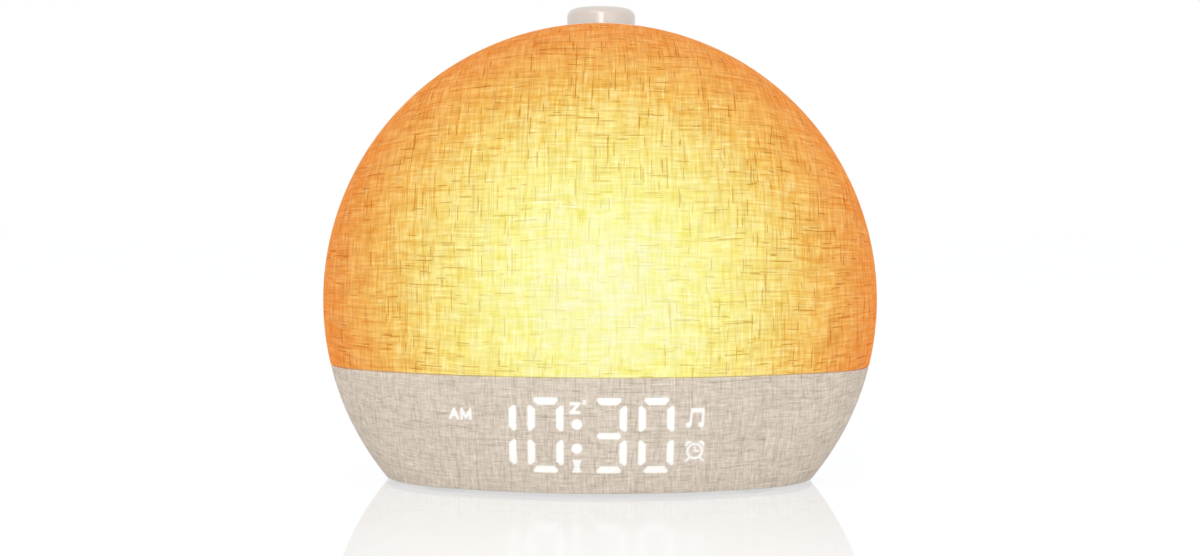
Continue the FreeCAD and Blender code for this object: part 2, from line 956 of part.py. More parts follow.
def board_chips():
    """The controller, sound and power chips on the main board's front."""
    places = [
        (controller_x, controller_z, controller_half, controller_half),
        (sound_chip_x, sound_chip_z, sound_chip_half_x, sound_chip_half_z),
        (power_chip_x, power_chip_z, power_chip_half_x, power_chip_half_z),
    ]
    return group(
        box(x - half_x, x + half_x, main_board_y - chip_height, main_board_y, z - half_z, z + half_z)
        for x, z, half_x, half_z in places
    )


def coin_cell():
    """The cell that keeps the time when the mains is off."""
    rear_y = main_board_y - cell_wall
    return rod_y(cell_radius, rear_y - cell_thick, rear_y, cell_x, cell_z)


def cell_holder():
    """The clip that holds the cell to the main board."""
    outer = rod_y(
        cell_radius + fit_gap + cell_wall,
        main_board_y - cell_wall - cell_thick,
        main_board_y,
        cell_x,
        cell_z,
    )
    seat = rod_y(cell_radius + fit_gap, 0, main_board_y - cell_wall, cell_x, cell_z)
    slot = box(
        cell_x - cell_radius / 2,
        cell_x + cell_radius / 2,
        0,
        main_board_y - cell_wall,
        cell_z,
        cell_z + 2 * cell_radius,
    )
    return without(outer, [seat, slot])


def tact_switches():
    """The six switches that the buttons push."""
    switches = []
    top = main_board_back_y + switch_height
    for x in button_places():
        body = box(
            x - switch_half,
            x + switch_half,
            main_board_back_y,
            top,
            button_z - switch_half,
            button_z + switch_half,
        )
        stem = rod_y(switch_stem_radius, top, top + switch_stem_height, x, button_z)
        switches.append(joined([body, stem]))
    return group(switches)


def back_button(x):
    """One round button: a cap, wings that keep it in, and a stem to its switch."""
    face_y = strip_floor_y + button_proud
    wing_y = strip_under_y - button_free_play
    cap = rod_y(button_radius, wing_y, face_y, x, button_z)
    rim = [edge for edge in cap.Edges if edge.Closed and edge.BoundBox.YMin > strip_floor_y]
    cap = cap.makeChamfer(button_edge, rim)
    reach = button_radius + button_wing
    low_y = wing_y - button_wing_thick
    wings = box(x - reach, x + reach, low_y, wing_y, button_z - button_radius, button_z + button_radius)
    stem_y = main_board_back_y + switch_height + switch_stem_height + button_travel + switch_play
    half = button_stem_half
    stem = box(x - half, x + half, stem_y, low_y, button_z - half, button_z + half)
    return joined([cap, wings, stem])


def power_inlet():
    """The round power socket with its centre pin."""
    body = box(
        -jack_half_x,
        jack_half_x,
        main_board_back_y,
        strip_under_y,
        jack_z - jack_half_z,
        jack_z + jack_half_z,
    )
    nose_y = cover_surface_y(0, jack_z)
    nose = rod_y(jack_nose_radius, main_board_back_y, nose_y, 0, jack_z)
    floor_y = nose_y - jack_bore_depth
    bore = rod_y(jack_bore_radius, floor_y, FAR, 0, jack_z)
    pin = rod_y(jack_pin_radius, floor_y, floor_y + jack_pin_length, 0, jack_z)
    return joined([joined([body, nose]).cut(bore), pin])


def speaker_screw_places():
    """Where the speaker's screws go, as x and z."""
    places = []
    for i in range(speaker_screw_count):
        angle = 2 * math.pi * (i + 0.5) / speaker_screw_count
        across = speaker_screw_radius * math.cos(angle)
        places.append((across, speaker_z + speaker_screw_radius * math.sin(angle)))
    return places


def speaker_ring(outer, inner, y0, y1):
    """A ring about the speaker's axis with holes for its screws."""
    ring = tube_y(outer, inner, y0, y1, 0, speaker_z)
    hole = small_shank_radius + pilot_gap
    return without(ring, [rod_y(hole, y0, y1, x, z) for x, z in speaker_screw_places()])


def speaker_gasket():
    """The foam ring between the speaker and its seat."""
    return speaker_ring(
        speaker_flange_radius, speaker_open_radius, speaker_seat_y - speaker_gasket_thick, speaker_seat_y
    )


def speaker_frame():
    """The speaker's pressed steel basket."""
    face_y = speaker_seat_y - speaker_gasket_thick
    wide = speaker_open_radius
    flange = speaker_ring(speaker_flange_radius, wide - speaker_basket_wall, speaker_rim_y, face_y)
    outer = Part.makeCone(speaker_neck_radius, wide, speaker_basket_depth)
    mouth = wide - speaker_basket_wall - speaker_ledge
    inner = Part.makeCone(
        speaker_neck_radius - speaker_basket_wall, mouth, speaker_basket_depth
    )
    basket = outer.cut(inner)
    neck = Vector(0, speaker_rim_y - speaker_basket_depth, speaker_z)
    basket = placed(basket, neck, Vector(0, 1, 0))
    return joined([flange, basket])


def speaker_magnet():
    """The speaker's magnet and yoke behind the basket."""
    front_y = speaker_rim_y - speaker_basket_depth
    return rod_y(magnet_radius, front_y - magnet_thick, front_y, 0, speaker_z)


def speaker_cone():
    """The paper cone with its surround roll and dust cap, turned as one thin shell."""
    outer = speaker_open_radius - speaker_basket_wall - fit_gap
    roll = surround_width / 2
    quarter = math.pi / 2
    glue_y = speaker_rim_y + cone_thick
    points = [(outer, glue_y)]
    middle = (outer - speaker_ledge - roll, glue_y)
    points += arc_points(middle, roll, quarter, -quarter, surround_steps)
    low_y = speaker_rim_y - cone_depth
    points.append((cone_inner_radius, low_y))
    points.append((0, low_y + dust_cap_height))
    back = [(x, y - cone_thick) for x, y in reversed(points)]
    cone = spun(points + back, 1)
    cone.translate(Vector(0, 0, speaker_z))
    return cone


def speaker_screws():
    """Small screws through the speaker's flange."""
    one = screw(small_head_radius, small_head_height, small_shank_radius, speaker_screw_length)
    return group(
        placed(one, Vector(x, speaker_rim_y, z), Vector(0, -1, 0)) for x, z in speaker_screw_places()
    )


def speaker_grille():
    """A round flat insert with a honeycomb of sound holes."""
    disc = rod_y(grille_radius, grille_face_y() - grille_thick, grille_face_y(), 0, speaker_z)
    reach = grille_radius - grille_rim - grille_hole
    steps = int(reach / grille_pitch) + 1
    row_rise = grille_pitch * math.sqrt(3) / 2
    corner = grille_hole / math.cos(math.pi / 6)
    holes = []
    for row in range(-steps - 1, steps + 2):
        for step in range(-steps - 1, steps + 2):
            x = (step + (row % 2) / 2) * grille_pitch
            z = row * row_rise
            if math.hypot(x, z) <= reach:
                turn = [math.radians(60 * i + 30) for i in range(6)]
                ring = [
                    Vector(x + corner * math.cos(t), band_depth, speaker_z + z + corner * math.sin(t))
                    for t in turn
                ]
                holes.append(outline_face(ring).extrude(Vector(0, FAR, 0)))
    return without(disc, holes)


def socket(x, y0, y1, z0, z1, half_width):
    """One ribbon socket."""
    half = half_width + socket_margin
    return box(x - half, x + half, y0, y1, z0, z1)


def ribbon_sockets():
    """The sockets on the boards, two for each ribbon and one for the speaker's lead."""
    front_y = main_board_y - socket_depth
    half = socket_half_z
    wide = ribbon_half_wide
    sockets = []
    for x, z in [(display_x, display_socket_z), (lamp_ribbon_x, lamp_socket_z), (0, encoder_socket_z)]:
        sockets.append(socket(x, front_y, main_board_y, z - half, z + half, wide))
    top_z = display_board_ribbon_z()
    back_y = display_back_y + socket_depth
    sockets.append(socket(display_x, display_back_y, back_y, top_z - half, top_z + half, wide))
    low_z = tray_top_z + board_thick
    edge_y = lamp_board_back_y
    sockets.append(socket(lamp_ribbon_x, edge_y - socket_depth, edge_y, low_z, low_z + 2 * half, wide))
    low_z = encoder_socket_top_z - socket_depth
    middle_y = encoder_ribbon_y
    sockets.append(socket(0, middle_y - half, middle_y + half, low_z, encoder_socket_top_z, wide))
    back_y = main_board_back_y + socket_depth
    low_z = speaker_socket_z - half
    high_z = speaker_socket_z + half
    sockets.append(socket(0, main_board_back_y, back_y, low_z, high_z, ribbon_half_narrow))
    return group(sockets)


def display_board_ribbon_z():
    """The height at which the display's ribbon leaves its board."""
    return display_socket_z + display_ribbon_drop


def ribbon(x, half_width, places):
    """A flat lead through these places, given as y and z, half its thickness on each side."""
    edges = []
    for side in (1, -1):
        row = []
        for i, (y, z) in enumerate(places):
            before = places[max(i - 1, 0)]
            after = places[min(i + 1, len(places) - 1)]
            arms = [(y - before[0], z - before[1]), (after[0] - y, after[1] - z)]
            turns = [math.atan2(b, a) for a, b in arms if math.hypot(a, b) > 0]
            middle = sum(turns) / len(turns)
            reach = side * ribbon_thick / 2 / math.cos((turns[-1] - turns[0]) / 2)
            edge_y = y - reach * math.sin(middle)
            edge_z = z + reach * math.cos(middle)
            row.append(Vector(x - half_width, edge_y, edge_z))
        edges += row[::side]
    return outline_face(edges).extrude(Vector(2 * half_width, 0, 0))


def display_ribbon():
    """The lead between the display board and the main board."""
    start_y = display_back_y + socket_depth
    end_y = main_board_y - socket_depth
    high_z = display_board_ribbon_z()
    places = [
        (start_y, high_z),
        (start_y + ribbon_slack, high_z),
        (end_y - ribbon_slack, display_socket_z),
        (end_y, display_socket_z),
    ]
    return ribbon(display_x, ribbon_half_wide, places)


def lamp_ribbon():
    """The lead between the lamp board and the main board."""
    end_y = main_board_y - socket_depth
    low_z = tray_top_z + board_thick + socket_half_z
    places = [
        (lamp_board_back_y, low_z),
        (chassis_wall + ribbon_slot_gap, low_z),
        (end_y - ribbon_slack / 2, lamp_socket_z),
        (end_y, lamp_socket_z),
    ]
    return ribbon(lamp_ribbon_x, ribbon_half_wide, places)


def encoder_ribbon():
    """The lead between the encoder board and the main board."""
    places = [
        (encoder_ribbon_y, encoder_socket_top_z - socket_depth),
        (encoder_ribbon_y, encoder_socket_z),
        (main_board_y - socket_depth, encoder_socket_z),
    ]
    return ribbon(0, ribbon_half_wide, places)


def speaker_lead():
    """The twin lead between the speaker's frame and the main board."""
    rim_z = speaker_z - (speaker_open_radius + speaker_flange_radius) / 2
    places = [
        (speaker_rim_y, rim_z),
        (speaker_lead_y, rim_z),
        (speaker_lead_y, speaker_socket_z),
        (main_board_back_y + socket_depth, speaker_socket_z),
    ]
    return ribbon(0, ribbon_half_narrow, places)


def ribbon_slots():
    """The openings in the chassis wall for the display's and the lamp's ribbons."""
    half = ribbon_half_wide + ribbon_slot_gap
    tall = ribbon_thick / 2 + display_ribbon_drop + ribbon_slot_gap
    lamp_z = tray_top_z + board_thick + socket_half_z
    lamp_tall = ribbon_thick / 2 + ribbon_slot_gap
    display_z_middle = display_socket_z + display_ribbon_drop / 2
    slots = [(display_x, display_z_middle, tall), (lamp_ribbon_x, lamp_z, lamp_tall)]
    return [box(x - half, x + half, 0, chassis_wall, z - reach, z + reach) for x, z, reach in slots]


def sub_parts():
    """Every node's name and its shape."""
    parts = {
        "dome_fabric": dome_fabric(),
        "base_fabric": base_fabric(),
        "light_dome": light_dome(),
        "base_front_shell": base_front_shell(),
        "chassis": chassis(),
        "rim_band": rim_band(),
        "back_cover": back_cover(),
        "bottom_plate": bottom_plate(),
        "rubber_feet": rubber_feet(),
        "underside_screws": underside_screws(),
        "cover_screws": cover_screws(),
        "knob_cap": knob_cap(),
        "encoder_shaft": encoder_shaft(),
        "encoder_rotor": encoder_rotor(),
        "encoder_housing": encoder_housing(),
        "press_dome": press_dome(),
        "encoder_board": encoder_board(),
        "encoder_screws": encoder_screws(),
        "segment_guides": segment_guides(),
        "display_mask": display_mask(),
        "display_board": display_board(),
        "lamp_board": lamp_board(),
        "lamp_leds": lamp_leds(),
        "main_board": main_board(),
        "main_board_screws": main_board_screws(),
        "board_chips": board_chips(),
        "coin_cell": coin_cell(),
        "cell_holder": cell_holder(),
        "tact_switches": tact_switches(),
        "power_inlet": power_inlet(),
        "speaker_gasket": speaker_gasket(),
        "speaker_frame": speaker_frame(),
        "speaker_magnet": speaker_magnet(),
        "speaker_cone": speaker_cone(),
        "speaker_screws": speaker_screws(),
        "speaker_grille": speaker_grille(),
        "ribbon_sockets": ribbon_sockets(),
        "display_ribbon": display_ribbon(),
        "lamp_ribbon": lamp_ribbon(),
        "encoder_ribbon": encoder_ribbon(),
        "speaker_lead": speaker_lead(),
    }
    names = ["alarm", "sound", "timer", "light", "volume_down", "volume_up"]
    for name, x in zip(names, button_places()):
        parts[name + "_button"] = back_button(x)
    return parts


def main():
    """Builds every sub-part, moves it to the table frame and writes its file."""
    os.makedirs("parts", exist_ok=True)
    for name, shape in sub_parts().items():
        shape = shape.copy()
        shape.translate(Vector(0, -middle_y, centre_z))
        shape.exportStep("parts/" + name + ".step")
        print(name, len(shape.Solids), shape.isValid(), round(shape.Volume, 1))


main()
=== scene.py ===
"""A round sunrise alarm clock with a lit linen dome, on a white floor.

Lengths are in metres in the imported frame, apart from the display's and the weave's own units,
which are millimetres on the cloth.
"""
import json
import math

import bpy
import numpy as np
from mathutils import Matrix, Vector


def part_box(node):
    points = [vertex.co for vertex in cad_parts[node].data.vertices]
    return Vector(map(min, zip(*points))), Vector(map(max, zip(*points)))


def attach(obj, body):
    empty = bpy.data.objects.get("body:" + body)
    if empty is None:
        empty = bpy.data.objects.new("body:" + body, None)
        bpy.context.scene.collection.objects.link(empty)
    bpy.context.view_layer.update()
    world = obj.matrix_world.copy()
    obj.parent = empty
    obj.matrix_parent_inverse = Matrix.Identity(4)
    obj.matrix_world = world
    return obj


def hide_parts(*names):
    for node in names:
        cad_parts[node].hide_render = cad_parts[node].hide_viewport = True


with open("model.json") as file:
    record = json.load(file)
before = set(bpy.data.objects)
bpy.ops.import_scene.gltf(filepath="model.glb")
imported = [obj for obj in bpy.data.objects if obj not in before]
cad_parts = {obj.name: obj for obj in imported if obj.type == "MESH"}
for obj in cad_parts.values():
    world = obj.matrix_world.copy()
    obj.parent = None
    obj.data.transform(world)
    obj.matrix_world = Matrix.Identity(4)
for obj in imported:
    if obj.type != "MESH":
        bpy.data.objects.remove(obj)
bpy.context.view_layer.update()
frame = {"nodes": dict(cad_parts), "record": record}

MM = 0.001

# The front's form, read from the frame, with the shoulder's own radius
dome_low, dome_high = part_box("dome_fabric")
skin_radius = dome_high[0]
front_depth = dome_high[1] - dome_low[1]
parting_y = dome_high[1]
centre_z = dome_high[2] - skin_radius
seam_z = dome_low[2]
shoulder = 30 * MM
base_low, base_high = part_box("base_fabric")
hem_turn = 0.5 * MM
cloth_lift = 0.05 * MM

# The cloths' meshes: rows and columns, with the fine columns over the display in millimetres
hem_rows = 6
dome_rows = 150
dome_columns = 200
base_rows = 180
fine_from, fine_to, fine_step = -47, 34, 0.2
left_columns = 50
right_columns = 55

# Camera: where the photograph was taken from, and its frame of 1200 by 556 pixels
camera_place = (-0.00012, -0.513, 0.0863)
camera_tilt = math.radians(2.30)
camera_roll = math.radians(-0.22)
focal_pixels = 1591
photo_width = 1200
sensor_width = 36.0

# Glow of the dome: rings round a point a little over the body's middle, by their distance from it
glow_rise = 5 * MM
glow_reach = 100 * MM
glow_narrow = 0.97
glow_stops = [
    (0.02, (252, 251, 190)),
    (0.22, (252, 249, 168)),
    (0.34, (251, 243, 148)),
    (0.47, (250, 230, 134)),
    (0.57, (247, 213, 117)),
    (0.65, (245, 191, 95)),
    (0.74, (242, 174, 87)),
    (0.82, (240, 155, 73)),
    (0.92, (246, 143, 56)),
    (1.00, (248, 138, 46)),
]
# glow_share of the glow's colour is real emission; the rest is painted into the cloth's base colour
# as painted light
glow_share = 0.72

# Linen: thread sizes in millimetres, and how much each part of the weave counts
dome_pitch = 0.68
dome_drift = 0.15
base_pitch = 0.44
base_drift = 0.30
slub_pitch = 0.34
dome_shares = {"ripple": 0.16, "upright": 0.27, "level": 0.27}
ring_shares = {
    "upright": 0.16, "level": 0.16, "band": 0.16, "blotch": 0.12, "dim": -0.03, "pale": 0.06,
}
base_shares = {
    "ripple": 0.30, "upright": 0.48, "level": 0.50, "dim": -0.12, "dark": -0.18, "pale": 0.15,
}
dome_mark = (0.70, 0.52, 0.32, 1.0)
dim_share = 0.32
vivid_share = 1.35
centre_calm = 0.36
mark_calm = 0.22
calm_from, calm_to = 0.05, 0.6
streak_share = 0.35
brown_shares = (0.88, 1.0, 1.14)
# Relief of each cloth's threads: depth and strength
dome_relief = (0.10 * MM, 0.6)
base_relief = (0.12 * MM, 0.8)
# How the threads sway: the stretch of the noise for each direction, and its reach
sways = (((0.01, 0.035, 1), 2.4), ((0.035, 0.01, 1), 3.2))
# How far apart neighbouring threads lie in the noise, and how far each is slid along it
thread_apart = 3.71
thread_slide = 0.37
# Broad bands: pitch, change along the thread, seed
upright_band = (1.9, 0.11, 61.5)
level_band = (2.1, 0.11, 67.5)
# Slubs: where the noise starts to show and where it is full, change along the thread, seed
slub_kinds = (
    ("dark", 0.67, 0.72, 0.09, 21.5),
    ("dim", 0.57, 0.67, 0.055, 31.5),
    ("pale", 0.66, 0.76, 0.08, 43.5),
)

# Display: digits and signs, in millimetres right of the middle and above the floor
display_z = 19.83
digit_height = 23.65
digit_width = 10.8
bar_thick = 2.22
bar_flat = 7.3
bar_tall = 7.9
bar_lean = 0.4
bar_blunt = 0.30
bar_slant = 0.75
middle_shorter = 0.2
middle_thinner = 0.86
digit_middles = (-30.45, -16.2, 2.8, 17.05)
colon_x = -6.8
colon_z = 19.65
colon_rise = 3.8
colon_radius = 1.6
light_blur = 0.09
halo_reach = 1.0
halo_share = 0.05
digit_bars = {
    "0": "top bottom top_left top_right low_left low_right",
    "1": "top_right low_right",
    "3": "top middle bottom top_right low_right",
}
shown_digits = "1030"

# Moulded stock: how far its colour and gloss wander
cloud_scale = 30
cloud_low = 0.98
cloud_high = 1.01
gloss_spread = 0.06

# Knob
knob_height = 7.1 * MM
knob_edge = 2.7 * MM
knob_dish = 0.15 * MM
knob_roof = 4.6 * MM
knob_wall = 1.8 * MM
knob_lip = 0.4 * MM
socket_radius = 4.6 * MM
socket_skin = 0.1 * MM
turned_steps = 144

# Printed signs: half a line's width in millimetres, and the print's depth under and over the face
sign_line = 0.22
sign_under = 0.05 * MM
sign_over = 0.06 * MM

# Floor: its half width, its white, its mirror's share and gloss, and where the mirror is dull
floor_half = 6.0
floor_white = 0.91
mirror_share = (0.14, 0.31)
mirror_fade = (-0.20, -0.03)
mirror_tint = (0.93, 0.96, 1, 1)
mirror_gloss = 0.04
mirror_dull = 0.18
dull_half = (0.036, 0.062)
dull_front = (-0.10, -0.05)

# Light: the world's level on surfaces, and each lamp's place, target, size and watts
world_level = 0.78
lamps = (
    ("front_soft", (-0.6, -1.3, 0.9), (0, 0, centre_z), (0.9, 0.9), 5.0),
    ("front_fill", (0.8, -1.2, 0.5), (0, 0, centre_z), (0.8, 0.8), 2.6),
    ("strip", (0.0, -1.2, 0.34), (0, 0.018, 0.15), (0.34, 0.7), 7.0),
)


def linear(rgb):
    """A display colour, 0 to 255, as the linear values that a shader takes."""
    values = []
    for c in rgb:
        c = c / 255
        values.append(c / 12.92 if c <= 0.04045 else ((c + 0.055) / 1.055) ** 2.4)
    return (*values, 1.0)


def linked(name, data):
    """A new object with this data, in the scene."""
    item = bpy.data.objects.new(name, data)
    bpy.context.collection.objects.link(item)
    return item


def new_piece(name, verts, faces):
    """A new object from points and faces."""
    mesh = bpy.data.meshes.new(name)
    mesh.from_pydata(verts, [], faces)
    return linked(name, mesh)


# The front's surface


def crown():
    """The radius of the crown's ball, how far its centre lies behind the parting, and its span."""
    hub = skin_radius - shoulder
    ball = (hub**2 + front_depth**2 - shoulder**2) / (2 * (front_depth - shoulder))
    return ball, ball - front_depth, math.atan2(hub, ball - front_depth)


def skin_depth(reach):
    """How far the surface stands ahead of the parting plane at a distance from the axis."""
    ball, ball_y, span = crown()
    hub = skin_radius - shoulder
    meet = ball * math.sin(span)
    on_ball = np.sqrt(np.maximum(ball**2 - reach**2, 0)) - ball_y
    on_edge = np.sqrt(np.maximum(shoulder**2 - np.maximum(reach - hub, 0) ** 2, 0))
    return np.where(reach < meet, on_ball, on_edge)


def skin_arc(reach):
    """The distance along the surface from the pole."""
    ball, _, span = crown()
    hub = skin_radius - shoulder
    meet = ball * math.sin(span)
    on_ball = ball * np.arcsin(np.clip(reach / ball, -1, 1))
    turn = np.arcsin(np.clip((reach - hub) / shoulder, -1, 1))
    return np.where(reach < meet, on_ball, ball * span + shoulder * (turn - span))


def skin_normal(x, z):
    """The outward direction of the surface at a place seen from the front."""
    ball, _, span = crown()
    hub = skin_radius - shoulder
    reach = np.maximum(np.hypot(x, z), 1e-9)
    lean = np.where(reach < ball * math.sin(span), np.arcsin(np.clip(reach / ball, 0, 1)),
                    np.arcsin(np.clip((reach - hub) / shoulder, 0, 1)))
    return np.stack([np.sin(lean) * x / reach, -np.cos(lean), np.sin(lean) * z / reach], axis=-1)


def cloth(name, rises, turns, sinks):
    """A sheet over the front, as rows at these heights above the middle, crossed by these turns.

    sinks gives how far each row lies under the surface, which rounds the hems.
    """
    rise = np.clip(np.array(rises), -skin_radius, skin_radius)[:, None]
    turn = np.array(turns)[None, :]
    half = np.sqrt(np.maximum(skin_radius**2 - rise**2, 0))
    x = half * np.sin(turn)
    z = rise + 0 * x
    reach = np.hypot(x, z)
    place = np.stack([x, parting_y - skin_depth(reach), centre_z + z], axis=-1)
    place = place - skin_normal(x, z) * (np.array(sinks)[:, None, None] - cloth_lift)
    arc = skin_arc(reach) / np.maximum(reach, 1e-9)
    weave = np.stack([x * arc, z * arc, 0 * x], axis=-1) / MM
    rows, columns = x.shape
    quads = [
        (r * columns + c, r * columns + c + 1, (r + 1) * columns + c + 1, (r + 1) * columns + c)
        for r in range(rows - 1)
        for c in range(columns - 1)
    ]
    piece = new_piece(name, place.reshape(-1, 3).tolist(), quads)
    piece.data.polygons.foreach_set("use_smooth", [True] * len(piece.data.polygons))
    spread = piece.data.attributes.new("weave", "FLOAT_VECTOR", "POINT")
    spread.data.foreach_set("vector", weave.reshape(-1))
    return piece, x.reshape(-1), z.reshape(-1)


def add_level(piece, name, values):
    """One number at each point of a piece, for its material."""
    level = piece.data.attributes.new(name, "FLOAT", "POINT")
    level.data.foreach_set("value", np.asarray(values, dtype=np.float32))


def hem():
    """How far the rows of a rounded hem lie past the edge and under the surface, deepest first."""
    turns = [math.pi / 2 * (1 - i / hem_rows) for i in range(hem_rows)]
    past = [hem_turn * (1 - math.sin(t)) for t in turns]
    under = [hem_turn * (1 - math.cos(t)) for t in turns]
    return past, under


# The display's lit shapes, as distances in millimetres, under zero inside


def distance_to_stroke(x, z, start, end, half):
    """The distance to a round-ended stroke."""
    ax, az = start
    bx, bz = end[0] - ax, end[1] - az
    along = np.clip(((x - ax) * bx + (z - az) * bz) / (bx**2 + bz**2), 0, 1)
    return np.hypot(x - ax - along * bx, z - az - along * bz) - half


def distance_to_convex(x, z, corners):
    """The distance to a shape with these corners, in order against the clock."""
    far = np.full(x.shape, -1e9)
    for i, (ax, az) in enumerate(corners):
        bx, bz = corners[(i + 1) % len(corners)]
        length = math.hypot(bx - ax, bz - az)
        far = np.maximum(far, ((x - ax) * (bz - az) - (z - az) * (bx - ax)) / length)
    return far


def distance_to_disc(x, z, middle, radius):
    """The distance to a round spot."""
    return np.hypot(x - middle[0], z - middle[1]) - radius


def distance_to_arc(x, z, middle, radius, half):
    """The distance to a thin ring."""
    return np.abs(np.hypot(x - middle[0], z - middle[1]) - radius) - half


def bar_corners(length, lean, thick):
    """A display bar that lies flat, its points moved towards its outer edge by lean."""
    half = thick / 2
    reach = length / 2
    inner = reach - half * (1 + lean) * bar_slant
    outer = reach - half * (1 - lean) * bar_slant
    low, high = lean * half - bar_blunt, lean * half + bar_blunt
    right = [(inner, -half), (reach, low), (reach, high), (outer, half)]
    return right + [(-x, z) for x, z in reversed(right)]


def digit_distance(x, z, middle, names):
    """The distance to the lit bars of one digit."""
    across = digit_width / 2 - bar_thick / 2
    up = digit_height / 2 - bar_thick / 2
    places = {
        "top": (0, up, 0, bar_flat, bar_lean),
        "middle": (0, 0, 0, bar_flat - middle_shorter, 0.0),
        "bottom": (0, -up, 180, bar_flat, bar_lean),
        "top_left": (-across, up / 2, 90, bar_tall, bar_lean),
        "low_left": (-across, -up / 2, 90, bar_tall, bar_lean),
        "top_right": (across, up / 2, -90, bar_tall, bar_lean),
        "low_right": (across, -up / 2, -90, bar_tall, bar_lean),
    }
    far = np.full(x.shape, 1e9)
    for name in names.split():
        dx, dz, turn, length, lean = places[name]
        c, s = math.cos(math.radians(turn)), math.sin(math.radians(turn))
        px, pz = x - middle - dx, z - display_z - dz
        flat_x, flat_z = c * px + s * pz, c * pz - s * px
        thick = bar_thick * middle_thinner if name == "middle" else bar_thick
        far = np.minimum(far, distance_to_convex(flat_x, flat_z, bar_corners(length, lean, thick)))
    return far


def strokes_distance(x, z, origin, size, strokes, half):
    """The distance to strokes given in a unit box of this size with this lower left corner."""
    far = np.full(x.shape, 1e9)
    for ax, az, bx, bz in strokes:
        start = (origin[0] + ax * size[0], origin[1] + az * size[1])
        end = (origin[0] + bx * size[0], origin[1] + bz * size[1])
        far = np.minimum(far, distance_to_stroke(x, z, start, end, half))
    return far


def letter_a(x, z):
    """The A of AM."""
    lines = [(0, 0, 0.5, 1), (0.5, 1, 1, 0), (0.2, 0.36, 0.8, 0.36)]
    return strokes_distance(x, z, (-45.35, 24.35), (2.4, 2.85), lines, 0.40)


def letter_m(x, z):
    """The M of AM."""
    lines = [(0, 0, 0, 1), (0, 1, 0.5, 0.1), (0.5, 0.1, 1, 1), (1, 1, 1, 0)]
    return strokes_distance(x, z, (-41.75, 24.35), (2.65, 2.85), lines, 0.39)


def sleep_sign(x, z):
    """A large and a small z."""
    lines = [(0, 1, 1, 1), (1, 1, 0, 0), (0, 0, 1, 0)]
    large = strokes_distance(x, z, (-8.55, 27.1), (2.4, 2.75), lines, 0.45)
    small = strokes_distance(x, z, (-5.05, 29.75), (0.95, 1.0), lines, 0.19)
    return np.minimum(large, small)


def sand_sign(x, z):
    """An hourglass."""
    low, high, half = 8.45, 12.05, 1.15
    middle = (low + high) / 2
    bars = [(-1, 0, 1, 0), (-1, 1, 1, 1)]
    far = strokes_distance(x, z, (colon_x, low), (half, high - low), bars, 0.28)
    wide, waist = 1.2, 0.78
    left, right = (colon_x - waist, middle), (colon_x + waist, middle)
    upper = [(colon_x - wide, high), left, right, (colon_x + wide, high)]
    lower = [(colon_x + wide, low), right, left, (colon_x - wide, low)]
    for corners in (upper, lower):
        far = np.minimum(far, distance_to_convex(x, z, corners))
    return far


def tune_sign(x, z):
    """Two joined notes."""
    left, right, low, high = 27.35, 31.15, 23.1, 27.95
    stems = [(0, 0, 0.1, 1), (1, 0, 1, 1)]
    far = strokes_distance(x, z, (left, low), (right - left, high - low), stems, 0.36)
    beam = [
        (left + 0.3, high),
        (left + 0.2, high - 1.1),
        (right + 0.2, high - 1.1),
        (right + 0.28, high + 0.28),
        (left + 0.3, high + 0.28),
    ]
    far = np.minimum(far, distance_to_convex(x, z, beam))
    for side in (left, right):
        far = np.minimum(far, distance_to_disc(x, z, (side - 0.6, low), 0.85))
    return far


def alarm_sign(x, z):
    """An alarm clock with two bells."""
    middle = (28.8, 14.75)
    ring = 2.25
    far = distance_to_arc(x, z, middle, ring, 0.36)
    hands = [(0, 0, 0, 0.62), (0, 0, 0.45, 0)]
    far = np.minimum(far, strokes_distance(x, z, middle, (ring, ring), hands, 0.28))
    for side in (-1, 1):
        foot = [(side * 0.75, -0.95, side * 1.15, -1.35)]
        far = np.minimum(far, strokes_distance(x, z, middle, (ring, ring), foot, 0.34))
        bell = distance_to_disc(x, z, (middle[0] + side * 1.85, middle[1] + 2.1), 1.15)
        gap = distance_to_disc(x, z, middle, ring + 0.65)
        far = np.minimum(far, np.maximum(bell, -gap))
    return far


def display_distance(x, z):
    """The distance to everything that is lit."""
    far = np.full(x.shape, 1e9)
    for digit, middle in zip(shown_digits, digit_middles):
        far = np.minimum(far, digit_distance(x, z, middle, digit_bars[digit]))
    for side in (-1, 1):
        spot = (colon_x, colon_z + side * colon_rise)
        far = np.minimum(far, distance_to_disc(x, z, spot, colon_radius))
    for sign in (letter_a, letter_m, sleep_sign, sand_sign, tune_sign, alarm_sign):
        far = np.minimum(far, sign(x, z))
    return far


# Materials


